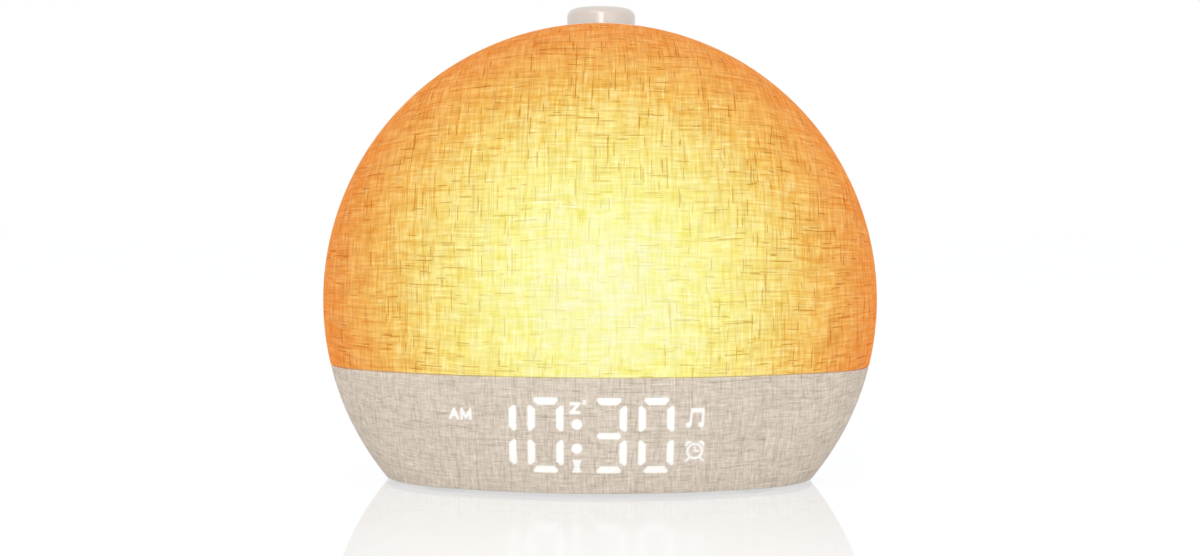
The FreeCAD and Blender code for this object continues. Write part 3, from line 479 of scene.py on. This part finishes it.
class Shader:
    """A material's node tree and short ways to add to it."""

    def __init__(self, name):
        self.material = bpy.data.materials.new(name)
        self.material.use_nodes = True
        self.nodes = self.material.node_tree.nodes
        self.links = self.material.node_tree.links
        self.surface = self.nodes["Principled BSDF"]

    def add(self, kind, **settings):
        """A new node with these settings."""
        node = self.nodes.new(kind)
        for key, value in settings.items():
            setattr(node, key, value)
        return node

    def feed(self, value, socket):
        """Links a node's output to a socket, or sets the socket to a plain value."""
        if isinstance(value, bpy.types.NodeSocket):
            self.links.new(value, socket)
        else:
            socket.default_value = value

    def math(self, operation, *values):
        """Arithmetic."""
        node = self.add("ShaderNodeMath", operation=operation)
        for value, socket in zip(values, node.inputs):
            self.feed(value, socket)
        return node.outputs[0]

    def vectors(self, operation, first, second):
        """Arithmetic on places."""
        node = self.add("ShaderNodeVectorMath", operation=operation)
        self.feed(first, node.inputs[0])
        self.feed(second, node.inputs[1])
        return node.outputs[0]

    def joined(self, *values):
        """A vector or colour from up to three numbers."""
        node = self.add("ShaderNodeCombineXYZ")
        for value, socket in zip(values, node.inputs):
            self.feed(value, socket)
        return node.outputs[0]

    def split(self, vector):
        """The numbers of a vector."""
        node = self.add("ShaderNodeSeparateXYZ")
        self.feed(vector, node.inputs[0])
        return node.outputs

    def noise(self, vector, scale=1.0, detail=2.0):
        """Smooth noise, 0 to 1."""
        node = self.add("ShaderNodeTexNoise")
        self.feed(vector, node.inputs["Vector"])
        node.inputs["Scale"].default_value = scale
        node.inputs["Detail"].default_value = detail
        return node.outputs["Fac"]

    def ramp(self, value, low, high, to_low=0.0, to_high=1.0):
        """A smooth step between two values."""
        node = self.add("ShaderNodeMapRange", interpolation_type="SMOOTHSTEP")
        names = ("Value", "From Min", "From Max", "To Min", "To Max")
        for name, v in zip(names, (value, low, high, to_low, to_high)):
            self.feed(v, node.inputs[name])
        return node.outputs["Result"]

    def colours(self, value, stops):
        """A colour from a scale of them."""
        node = self.add("ShaderNodeValToRGB")
        points = node.color_ramp.elements
        while len(points) < len(stops):
            points.new(0.5)
        for point, (place, colour) in zip(points, stops):
            point.position = place
            point.color = colour
        self.feed(value, node.inputs["Fac"])
        return node.outputs["Color"]

    def mix(self, share, first, second, blend="MIX"):
        """Two colours mixed."""
        node = self.add("ShaderNodeMix", data_type="RGBA", blend_type=blend)
        self.feed(share, node.inputs[0])
        self.feed(first, node.inputs[6])
        self.feed(second, node.inputs[7])
        return node.outputs[2]

    def attribute(self, name, output):
        """A value that the mesh holds at each point."""
        return self.add("ShaderNodeAttribute", attribute_name=name).outputs[output]

    def bump(self, height, depth, strength):
        """Fine relief."""
        node = self.add("ShaderNodeBump")
        self.feed(height, node.inputs["Height"])
        node.inputs["Distance"].default_value = depth
        node.inputs["Strength"].default_value = strength
        self.links.new(node.outputs["Normal"], self.surface.inputs["Normal"])

    def set(self, **values):
        """Values or links for the surface's sockets, with _ for the blanks in their names."""
        for name, value in values.items():
            self.feed(value, self.surface.inputs[name.replace("_", " ")])


def family(shader, across, along, pitch, along_rate, seed):
    """One set of threads: a noise that is level across each thread and drifts along it."""
    number = shader.math("FLOOR", shader.math("DIVIDE", across, pitch))
    apart = shader.math("MULTIPLY", number, thread_apart)
    slide = shader.math("MULTIPLY", number, thread_slide)
    slid = shader.math("MULTIPLY_ADD", along, along_rate, slide)
    return shader.noise(shader.joined(apart, slid, seed), detail=1.0)


def ridge(shader, across, pitch):
    """The rounded height over each thread."""
    share = shader.math("FRACT", shader.math("DIVIDE", across, pitch))
    away = shader.math("SUBTRACT", shader.math("MULTIPLY", share, 2.0), 1.0)
    return shader.math("SUBTRACT", 1.0, shader.math("MULTIPLY", away, away))


def weave(shader, pitch, drift_rate):
    """Linen: ridges of the threads, their unevenness, dark and pale slubs and soft patches."""
    place = shader.attribute("weave", "Vector")
    sway = []
    for i, (slow, reach) in enumerate(sways):
        where = shader.vectors("ADD", shader.vectors("MULTIPLY", place, slow), (9 * i, 4, 2))
        drift = shader.noise(where, detail=1.0)
        sway.append(shader.math("MULTIPLY", shader.math("SUBTRACT", drift, 0.5), reach))
    bent = shader.vectors("ADD", place, shader.joined(*sway))
    x, z, _ = shader.split(bent)
    crests = shader.math("ADD", ridge(shader, x, pitch), ridge(shader, z, pitch))
    broad = family(shader, x, z, *upright_band), family(shader, z, x, *level_band)
    bands = shader.math("ADD", *broad)
    parts = {
        "ripple": shader.math("MULTIPLY_ADD", crests, 0.5, -0.17),
        "upright": family(shader, x, z, pitch, drift_rate, 1.5),
        "level": family(shader, z, x, pitch, drift_rate, 7.5),
        "band": shader.math("MULTIPLY", bands, 0.5),
        "blotch": shader.noise(shader.vectors("MULTIPLY", bent, (0.25, 0.25, 1))),
    }
    for name, lowest, highest, mark_rate, seed in slub_kinds:
        marks = []
        for across, along, extra in ((x, z, 0.0), (z, x, 3.0)):
            spread = family(shader, across, along, slub_pitch, mark_rate, seed + extra)
            marks.append(shader.ramp(spread, lowest, highest))
        parts[name] = shader.math("MAXIMUM", *marks)
    return parts


def thread_shade(shader, threads, shares):
    """Brightness of the linen round 1, from how much each part of the weave counts."""
    total = 1.0
    for name, share in shares.items():
        value = threads[name]
        # Slubs are 0 where there are none; the rest swings round a half
        if name not in ("dark", "dim", "pale"):
            value = shader.math("SUBTRACT", value, 0.5)
        total = shader.math("MULTIPLY_ADD", value, share, total)
    return total


def weave_height(shader, threads):
    """The height of the threads for the bump."""
    height = shader.math("MULTIPLY_ADD", threads["upright"], 0.8, threads["ripple"])
    height = shader.math("MULTIPLY_ADD", threads["level"], 0.8, height)
    return shader.math("MULTIPLY_ADD", threads["dark"], 0.6, height)


def tinted(shader, colour, shade):
    """A colour times a brightness."""
    node = shader.add("ShaderNodeVectorMath", operation="SCALE")
    shader.feed(colour, node.inputs[0])
    shader.feed(shade, node.inputs["Scale"])
    return node.outputs[0]


def cloth_surface(shader, threads, gloss_by, depth, strength):
    """The dry gloss of linen, uneven by one set of threads, and the threads' relief."""
    shader.set(Roughness=shader.ramp(threads[gloss_by], 0, 1, 0.85, 1.0))
    shader.surface.inputs["Specular IOR Level"].default_value = 0.15
    shader.bump(weave_height(shader, threads), depth, strength)


def lit_linen():
    """The dome's cloth, lit from behind: pale at the middle of the glow, orange at its edge; part
    of this glow is painted light in the base colour, the rest real emission.
    """
    shader = Shader("dome_linen")
    threads = weave(shader, dome_pitch, dome_drift)
    glow = shader.attribute("glow", "Fac")
    # In the glare at the middle the threads show less
    calm = shader.ramp(glow, calm_from, calm_to, centre_calm, 1.0)
    uneven = shader.math("SUBTRACT", thread_shade(shader, threads, dome_shares), 1.0)
    shade = shader.math("MULTIPLY_ADD", uneven, calm, 1.0)
    # Where the weave is closer, less light comes through, so the colour moves towards the edge's
    closer = shader.math("SUBTRACT", thread_shade(shader, threads, ring_shares), 1.0)
    level = shader.math("SUBTRACT", glow, closer)
    base = shader.colours(level, [(place, linear(colour)) for place, colour in glow_stops])
    dim = shader.math("MULTIPLY", threads["dim"], dim_share)
    marks = shader.math("MAXIMUM", threads["dark"], dim)
    marks = shader.math("MULTIPLY", marks, shader.ramp(glow, calm_from, calm_to, mark_calm, 1.0))
    marked = shader.mix(marks, base, shader.mix(1.0, base, dome_mark, blend="MULTIPLY"))
    # Patches of richer yellow, which hold back only the blue
    patch = shader.math("MULTIPLY", shader.math("ADD", threads["band"], threads["blotch"]), 0.5)
    streaks = shader.math("SUBTRACT", shader.math("ADD", threads["upright"], threads["level"]), 1.0)
    patch = shader.math("MULTIPLY_ADD", streaks, streak_share, patch)
    vivid = shader.math("MULTIPLY_ADD", shader.math("SUBTRACT", patch, 0.5), vivid_share, 1.0)
    marked = shader.mix(1.0, marked, shader.joined(1.0, 1.0, vivid), blend="MULTIPLY")
    colour = tinted(shader, marked, shade)
    # The glow's colour also goes into the base colour: painted light, which the lamps light again,
    # beside the real emission
    shader.set(Base_Color=tinted(shader, colour, 1 - glow_share))
    shader.set(Emission_Color=tinted(shader, colour, glow_share), Emission_Strength=1.0)
    cloth_surface(shader, threads, "upright", *dome_relief)
    return shader.material


def plain_linen():
    """The lower cloth, with the display's light coming through it, mostly as painted light in the
    base colour and partly as emission.
    """
    shader = Shader("base_linen")
    threads = weave(shader, base_pitch, base_drift)
    shade = thread_shade(shader, threads, base_shares)
    warm = shader.mix(threads["blotch"], linear((217, 205, 192)), linear((227, 213, 197)))
    # The darker threads are browner, not only darker
    uneven = shader.math("SUBTRACT", shade, 1.0)
    browner = [shader.math("MULTIPLY_ADD", uneven, share, 1.0) for share in brown_shares]
    colour = shader.mix(1.0, warm, shader.joined(*browner), blend="MULTIPLY")
    lit = shader.attribute("lit", "Fac")
    # Where the display shines through, the cloth's base colour is painted near white: painted
    # light, with a weak real emission added below
    shader.set(Base_Color=shader.mix(lit, colour, linear((254, 251, 246))))
    light = shader.math("MULTIPLY", lit, shader.math("MULTIPLY_ADD", shade, 0.04, 0.10))
    shader.set(Emission_Color=linear((226, 242, 255)), Emission_Strength=light)
    cloth_surface(shader, threads, "level", *base_relief)
    return shader.material


def moulded(name, rgb, rough, grain=0.02, metal=0.0, glow=0.0, coat=0.0, pitch=0.6):
    """Moulded or painted stock: a little uneven in colour and gloss, with a fine grain."""
    shader = Shader(name)
    place = shader.add("ShaderNodeTexCoord").outputs["Object"]
    cloudy = shader.noise(place, cloud_scale, 3.0)
    fine = shader.noise(place, 1 / (pitch * MM), 3.0)
    low = tuple(c * cloud_low for c in linear(rgb)[:3]) + (1.0,)
    high = tuple(min(1.0, c * cloud_high) for c in linear(rgb)[:3]) + (1.0,)
    shader.set(Base_Color=shader.mix(shader.ramp(cloudy, 0.3, 0.7), low, high))
    shader.set(Roughness=shader.ramp(fine, 0.2, 0.8, rough - gloss_spread, rough + gloss_spread))
    shader.surface.inputs["Metallic"].default_value = metal
    shader.surface.inputs["Coat Weight"].default_value = coat
    if glow:
        shader.surface.inputs["Emission Color"].default_value = linear(rgb)
        shader.surface.inputs["Emission Strength"].default_value = glow
    shader.bump(fine, grain * MM, 0.5)
    return shader.material


def brushed(name, rgb, rough):
    """Turned or plated metal with fine marks."""
    shader = Shader(name)
    place = shader.add("ShaderNodeTexCoord").outputs["Object"]
    marks = shader.noise(shader.vectors("MULTIPLY", place, (400, 400, 9000)), detail=3.0)
    shader.set(Base_Color=shader.mix(marks, linear([c * 0.93 for c in rgb]), linear(rgb)))
    shader.set(Roughness=shader.ramp(marks, 0.2, 0.8, rough - 0.06, rough + 0.08))
    shader.surface.inputs["Metallic"].default_value = 1.0
    shader.bump(marks, 0.004 * MM, 0.4)
    return shader.material


def board_green(name):
    """A circuit board: solder mask with faint tracks."""
    shader = Shader(name)
    place = shader.add("ShaderNodeTexCoord").outputs["Object"]
    runs = shader.noise(shader.vectors("MULTIPLY", place, (500, 500, 90)), detail=1.0)
    tracks = shader.ramp(runs, 0.52, 0.56)
    shader.set(Base_Color=shader.mix(tracks, linear((22, 92, 54)), linear((34, 118, 70))))
    shader.set(Roughness=shader.ramp(tracks, 0, 1, 0.32, 0.42))
    shader.bump(tracks, 0.03 * MM, 0.4)
    return shader.material


def slot_materials():
    """One material for each slot of the record."""
    return {
        "dome_linen": lit_linen(),
        "base_linen": plain_linen(),
        "milky_plastic": moulded("milky_plastic", (240, 236, 224), 0.45, glow=0.3),
        "white_plastic": moulded("white_plastic", (232, 232, 228), 0.5),
        "shell_plastic": moulded("shell_plastic", (186, 180, 170), 0.5),
        "cream_plastic": moulded("cream_plastic", (232, 224, 214), 0.42, grain=0.03),
        "knob_plastic": moulded("knob_plastic", (217, 209, 201), 0.3, grain=0.006, coat=0.3),
        "button_plastic": moulded("button_plastic", (216, 208, 198), 0.38),
        "black_plastic": moulded("black_plastic", (34, 34, 36), 0.45),
        "light_guide": moulded("light_guide", (246, 242, 230), 0.3, glow=0.6),
        "circuit_board": board_green("circuit_board"),
        "led_package": moulded("led_package", (250, 226, 150), 0.25, glow=1.5),
        "screw_steel": brushed("screw_steel", (186, 186, 186), 0.35),
        "shaft_steel": brushed("shaft_steel", (206, 206, 202), 0.25),
        "cell_steel": brushed("cell_steel", (206, 206, 204), 0.3),
        "basket_steel": moulded("basket_steel", (48, 48, 50), 0.4),
        "magnet": moulded("magnet", (70, 70, 72), 0.4, metal=0.6),
        "cone_paper": moulded("cone_paper", (52, 52, 54), 0.85, grain=0.08, pitch=1.2),
        "foam": moulded("foam", (54, 54, 54), 0.95, grain=0.2, pitch=1.0),
        "foot_rubber": moulded("foot_rubber", (70, 68, 66), 0.8, grain=0.05),
        "ribbon": moulded("ribbon", (226, 226, 222), 0.45),
    }


# Pieces


def add_dome_cloth(material):
    """The lit cloth over the lamp."""
    seam_rise = seam_z - centre_z
    first = math.asin(seam_rise / skin_radius)
    turned = [first + (math.pi / 2 - first) * i / dome_rows for i in range(dome_rows + 1)]
    roll, sinks = hem()
    rises = [seam_rise + r for r in roll]
    for i, t in enumerate(turned):
        rises.append(skin_radius * math.sin(t) + hem_turn * (1 - i / dome_rows))
    sinks += [0.0] * len(turned)
    turns = [math.pi * (i / dome_columns - 0.5) for i in range(dome_columns + 1)]
    piece, x, z = cloth("dome_cloth", rises, turns, sinks)
    add_level(piece, "glow", np.hypot(x * glow_narrow, z - glow_rise) / glow_reach)
    finish_cloth(piece, "dome_fabric", material)


def add_base_cloth(material):
    """The plain cloth over the lower front, with the display behind it."""
    top_rise = base_high[2] - centre_z
    low_rise = base_low[2] - centre_z
    roll, sinks = hem()
    span = top_rise - low_rise - 2 * hem_turn
    inner = [low_rise + hem_turn + span * i / base_rows for i in range(base_rows + 1)]
    rises = [low_rise + r for r in roll] + inner + [top_rise - r for r in reversed(roll)]
    sinks = sinks + [0.0] * len(inner) + sinks[::-1]
    half = math.sqrt(skin_radius**2 - (display_z * MM - centre_z) ** 2)
    dense = [math.asin(x * MM / half) for x in np.arange(fine_from, fine_to, fine_step)]
    reach = -math.pi / 2 - dense[0]
    left = [dense[0] + reach * (1 - i / left_columns) for i in range(left_columns)]
    reach = math.pi / 2 - dense[-1]
    right = [dense[-1] + reach * (i + 1) / right_columns for i in range(right_columns)]
    piece, x, z = cloth("base_cloth", rises, left + dense + right, sinks)
    far = display_distance(x / MM, (z + centre_z) / MM)
    lit = 1 / (1 + np.exp(np.clip(far / light_blur, -30, 30)))
    # A faint halo of spilt display light round the signs, painted into the base colour and added to
    # the emission
    halo = halo_share * np.exp(-np.maximum(far, 0) / halo_reach)
    add_level(piece, "lit", np.clip(np.maximum(lit, halo), 0, 1))
    finish_cloth(piece, "base_fabric", material)


def finish_cloth(piece, node, material):
    """Gives a sheet its material, hides the CAD node it stands for, and sets it under the housing's
    body.
    """
    piece.data.materials.append(material)
    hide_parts(node)
    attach(piece, "housing")
    place = np.zeros(len(piece.data.vertices) * 3)
    piece.data.attributes["weave"].data.foreach_get("vector", place)
    place = place.reshape(-1, 3) * MM


def spin(name, profile, middle):
    """A smooth turned piece from a profile of radius and height, about an upright axis."""
    steps = turned_steps
    verts = []
    for radius, height in profile:
        for i in range(steps):
            turn = 2 * math.pi * i / steps
            across, ahead = radius * math.cos(turn), radius * math.sin(turn)
            verts.append((middle[0] + across, middle[1] + ahead, height))
    faces = []
    for r in range(len(profile) - 1):
        for i in range(steps):
            j = (i + 1) % steps
            faces.append((r * steps + i, r * steps + j, (r + 1) * steps + j, (r + 1) * steps + i))
    faces.append(tuple(range(steps))[::-1])
    top = (len(profile) - 1) * steps
    faces.append(tuple(top + i for i in range(steps)))
    piece = new_piece(name, verts, faces)
    piece.data.polygons.foreach_set("use_smooth", [len(f) == 4 for f in faces])
    return piece


def arc(middle, radius, start, stop, steps):
    """Points of an arc in a profile, in degrees from straight out."""
    turns = [math.radians(start + (stop - start) * i / steps) for i in range(steps + 1)]
    return [(middle[0] + radius * math.cos(t), middle[1] + radius * math.sin(t)) for t in turns]


def add_knob(material):
    """The knob: a skirt with a small step, a round shoulder and a faintly crowned top."""
    low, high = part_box("knob_cap")
    radius = high[0]
    middle = (0.0, (low[1] + high[1]) / 2)
    top = high[2]
    under = top - knob_height
    roof = under + knob_roof
    socket = socket_radius + socket_skin
    profile = [(socket_radius, roof + socket_skin), (socket_radius, low[2])]
    profile += [(socket, low[2]), (socket, roof)]
    profile += [(radius - knob_wall, roof), (radius - knob_wall, under + knob_lip / 2)]
    profile += arc((radius - knob_lip, under + knob_lip), knob_lip, -90, 0, 6)
    profile += arc((radius - knob_edge, top - knob_dish - knob_edge), knob_edge, 0, 82, 16)
    profile += [(radius * s, top - knob_dish * s * s * 1.6) for s in (0.6, 0.45, 0.3, 0.15, 0.02)]
    piece = spin("knob", profile, middle)
    piece.data.materials.append(material)
    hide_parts("knob_cap")
    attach(piece, "knob")


# Signs on the back's buttons, in millimetres round each button's middle, seen from behind


def disc(middle, radius, steps=24):
    """The corners of a disc."""
    turns = [2 * math.pi * i / steps for i in range(steps)]
    return [(middle[0] + radius * math.cos(t), middle[1] + radius * math.sin(t)) for t in turns]


def bar(start, end, half):
    """The corners of a straight bar."""
    length = math.hypot(end[0] - start[0], end[1] - start[1])
    u, v = half * (end[1] - start[1]) / length, half * (end[0] - start[0]) / length
    corners = ((start, 1), (end, 1), (end, -1), (start, -1))
    return [(x + side * u, z - side * v) for (x, z), side in corners]


def hoop(middle, radius, half, steps=32):
    """A ring as short straight parts."""
    outer = disc(middle, radius + half, steps)
    inner = disc(middle, radius - half, steps)
    return [[inner[i - 1], outer[i - 1], outer[i], inner[i]] for i in range(steps)]


def button_signs():
    """The parts of each button's sign, every part with its corners against the clock."""
    line = sign_line
    hub = (0, -0.1)
    clock = hoop(hub, 1.35, line) + [bar(hub, tip, line * 0.8) for tip in ((0, 0.75), (0.6, -0.1))]
    clock += [bar((side * 1.0, 1.75), (side * 1.75, 1.0), line * 1.4) for side in (-1, 1)]
    note = [bar((-0.75, -1.2), (-0.75, 1.5), line), bar((1.25, -1.4), (1.25, 1.5), line)]
    note += [bar((-0.97, 1.3), (1.47, 1.3), line * 1.7)]
    note += [disc(spot, 0.6) for spot in ((-1.15, -1.2), (0.85, -1.4))]
    glass = [bar((-1.2, z), (1.2, z), line) for z in (-1.7, 1.7)]
    for side in (1, -1):
        waist = [(-0.16 * side, 0), (0.16 * side, 0)]
        glass.append([(-1.0 * side, 1.55 * side), *waist, (1.0 * side, 1.55 * side)])
    sun = [disc((0, 0), 0.85)]
    for i in range(8):
        c, s = math.cos(math.pi * i / 4), math.sin(math.pi * i / 4)
        sun.append(bar((1.25 * c, 1.25 * s), (1.95 * c, 1.95 * s), line * 0.8))
    minus = [bar((-1.4, 0), (1.4, 0), line * 1.2)]
    plus = minus + [bar((0, -1.4), (0, 1.4), line * 1.2)]
    return {
        "alarm": clock,
        "sound": note,
        "timer": glass,
        "light": sun,
        "volume_down": minus,
        "volume_up": plus,
    }


def add_button_sign(body, parts, material):
    """A printed sign that stands a hair over a button's face."""
    low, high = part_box(body + "_button")
    middle_x, middle_z = (low[0] + high[0]) / 2, (low[2] + high[2]) / 2
    verts, faces = [], []
    for corners in parts:
        first, count = len(verts), len(corners)
        for depth in (high[1] - sign_under, high[1] + sign_over):
            verts += [(middle_x - u * MM, depth, middle_z + v * MM) for u, v in corners]
        faces.append([first + i for i in range(count)][::-1])
        faces.append([first + count + i for i in range(count)])
        for i in range(count):
            j = (i + 1) % count
            faces.append([first + i, first + j, first + count + j, first + count + i])
    piece = new_piece(body + "_sign", verts, faces)
    piece.data.materials.append(material)
    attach(piece, body)


def dress_nodes(materials):
    """Every CAD node takes the material of its slot."""
    slots = {s["node"]: s["material_slot"] for s in frame["record"]["subparts"]}
    for name, node in frame["nodes"].items():
        node.data.materials.clear()
        node.data.materials.append(materials[slots[name]])


# Floor, light and camera


def add_floor():
    """A white floor with a faint mirror image that fades away from the object."""
    corners = [(u * floor_half, v * floor_half, 0) for u, v in ((-1, -1), (1, -1), (1, 1), (-1, 1))]
    floor = new_piece("floor", corners, [(0, 1, 2, 3)])
    shader = Shader("floor_white")
    path = shader.add("ShaderNodeLightPath")
    seen = shader.math("MAXIMUM", path.outputs["Is Camera Ray"], path.outputs["Is Glossy Ray"])
    x, y, _ = shader.split(shader.add("ShaderNodeNewGeometry").outputs["Position"])
    fade = shader.ramp(y, *mirror_fade, *mirror_share)
    white = shader.mix(seen, linear((238, 238, 238)), linear((106, 103, 100)))
    shader.set(Base_Color=white, Roughness=0.7)
    shader.surface.inputs["Specular IOR Level"].default_value = 0.0
    shader.set(Emission_Color=(1, 1, 1, 1))
    shader.set(Emission_Strength=shader.math("MULTIPLY", seen, floor_white))
    mirror = shader.add("ShaderNodeBsdfGlossy")
    # In front of the display the mirror is dull, so the lit signs don't show in it
    across = shader.math("MULTIPLY", x, x)
    dull = shader.ramp(across, dull_half[0] ** 2, dull_half[1] ** 2, 1.0, 0.0)
    dull = shader.math("MULTIPLY", dull, shader.ramp(y, *dull_front, 1.0, 0.0))
    gloss = shader.math("MULTIPLY_ADD", dull, mirror_dull, mirror_gloss)
    shader.feed(gloss, mirror.inputs["Roughness"])
    mirror.inputs["Color"].default_value = mirror_tint
    mixed = shader.add("ShaderNodeMixShader")
    shader.feed(fade, mixed.inputs[0])
    shader.links.new(shader.surface.outputs[0], mixed.inputs[1])
    shader.links.new(mirror.outputs[0], mixed.inputs[2])
    shader.links.new(mixed.outputs[0], shader.nodes["Material Output"].inputs["Surface"])
    floor.data.materials.append(shader.material)


def add_light(name, place, target, size, power):
    """A soft rectangular light that faces a point."""
    data = bpy.data.lights.new(name, "AREA")
    data.shape = "RECTANGLE"
    data.size, data.size_y = size
    data.energy = power
    light = linked(name, data)
    light.location = place
    dx, dy, dz = (t - p for t, p in zip(target, place))
    tilt = math.atan2(math.hypot(dx, dy), -dz)
    light.rotation_euler = (tilt, 0, math.atan2(dy, dx) - math.pi / 2)
    return light


def add_studio():
    """Even white surroundings, a broad light from the front and a strip over the camera."""
    world = bpy.data.worlds.new("studio")
    bpy.context.scene.world = world
    world.use_nodes = True
    nodes = world.node_tree.nodes
    path = nodes.new("ShaderNodeLightPath")
    seen = nodes.new("ShaderNodeMath")
    seen.operation = "MAXIMUM"
    world.node_tree.links.new(path.outputs["Is Camera Ray"], seen.inputs[0])
    world.node_tree.links.new(path.outputs["Is Glossy Ray"], seen.inputs[1])
    level = nodes.new("ShaderNodeMapRange")
    level.inputs["To Min"].default_value = world_level
    level.inputs["To Max"].default_value = 1.0
    world.node_tree.links.new(seen.outputs[0], level.inputs["Value"])
    world.node_tree.links.new(level.outputs["Result"], nodes["Background"].inputs["Strength"])
    nodes["Background"].inputs["Color"].default_value = (1, 1, 1, 1)
    # The strip only makes the streak of light on the knob
    for lamp in lamps:
        light = add_light(*lamp)
        light.visible_diffuse = lamp[0] != "strip"


def add_camera():
    """The photograph's viewpoint."""
    data = bpy.data.cameras.new("camera")
    data.sensor_width = sensor_width
    data.lens = focal_pixels / photo_width * sensor_width
    data.clip_start = 0.01
    camera = linked("camera", data)
    camera.location = camera_place
    camera.rotation_euler = (math.pi / 2 - camera_tilt, camera_roll, 0)
    bpy.context.scene.camera = camera


add_camera()
add_floor()
add_studio()
bpy.context.scene.view_settings.view_transform = "Standard"
materials = slot_materials()
dress_nodes(materials)
add_dome_cloth(materials["dome_linen"])
add_base_cloth(materials["base_linen"])
add_knob(materials["knob_plastic"])
ink = moulded("sign_ink", (88, 84, 80), 0.5, grain=0.01)
for body, parts in button_signs().items():
    add_button_sign(body, parts, ink)
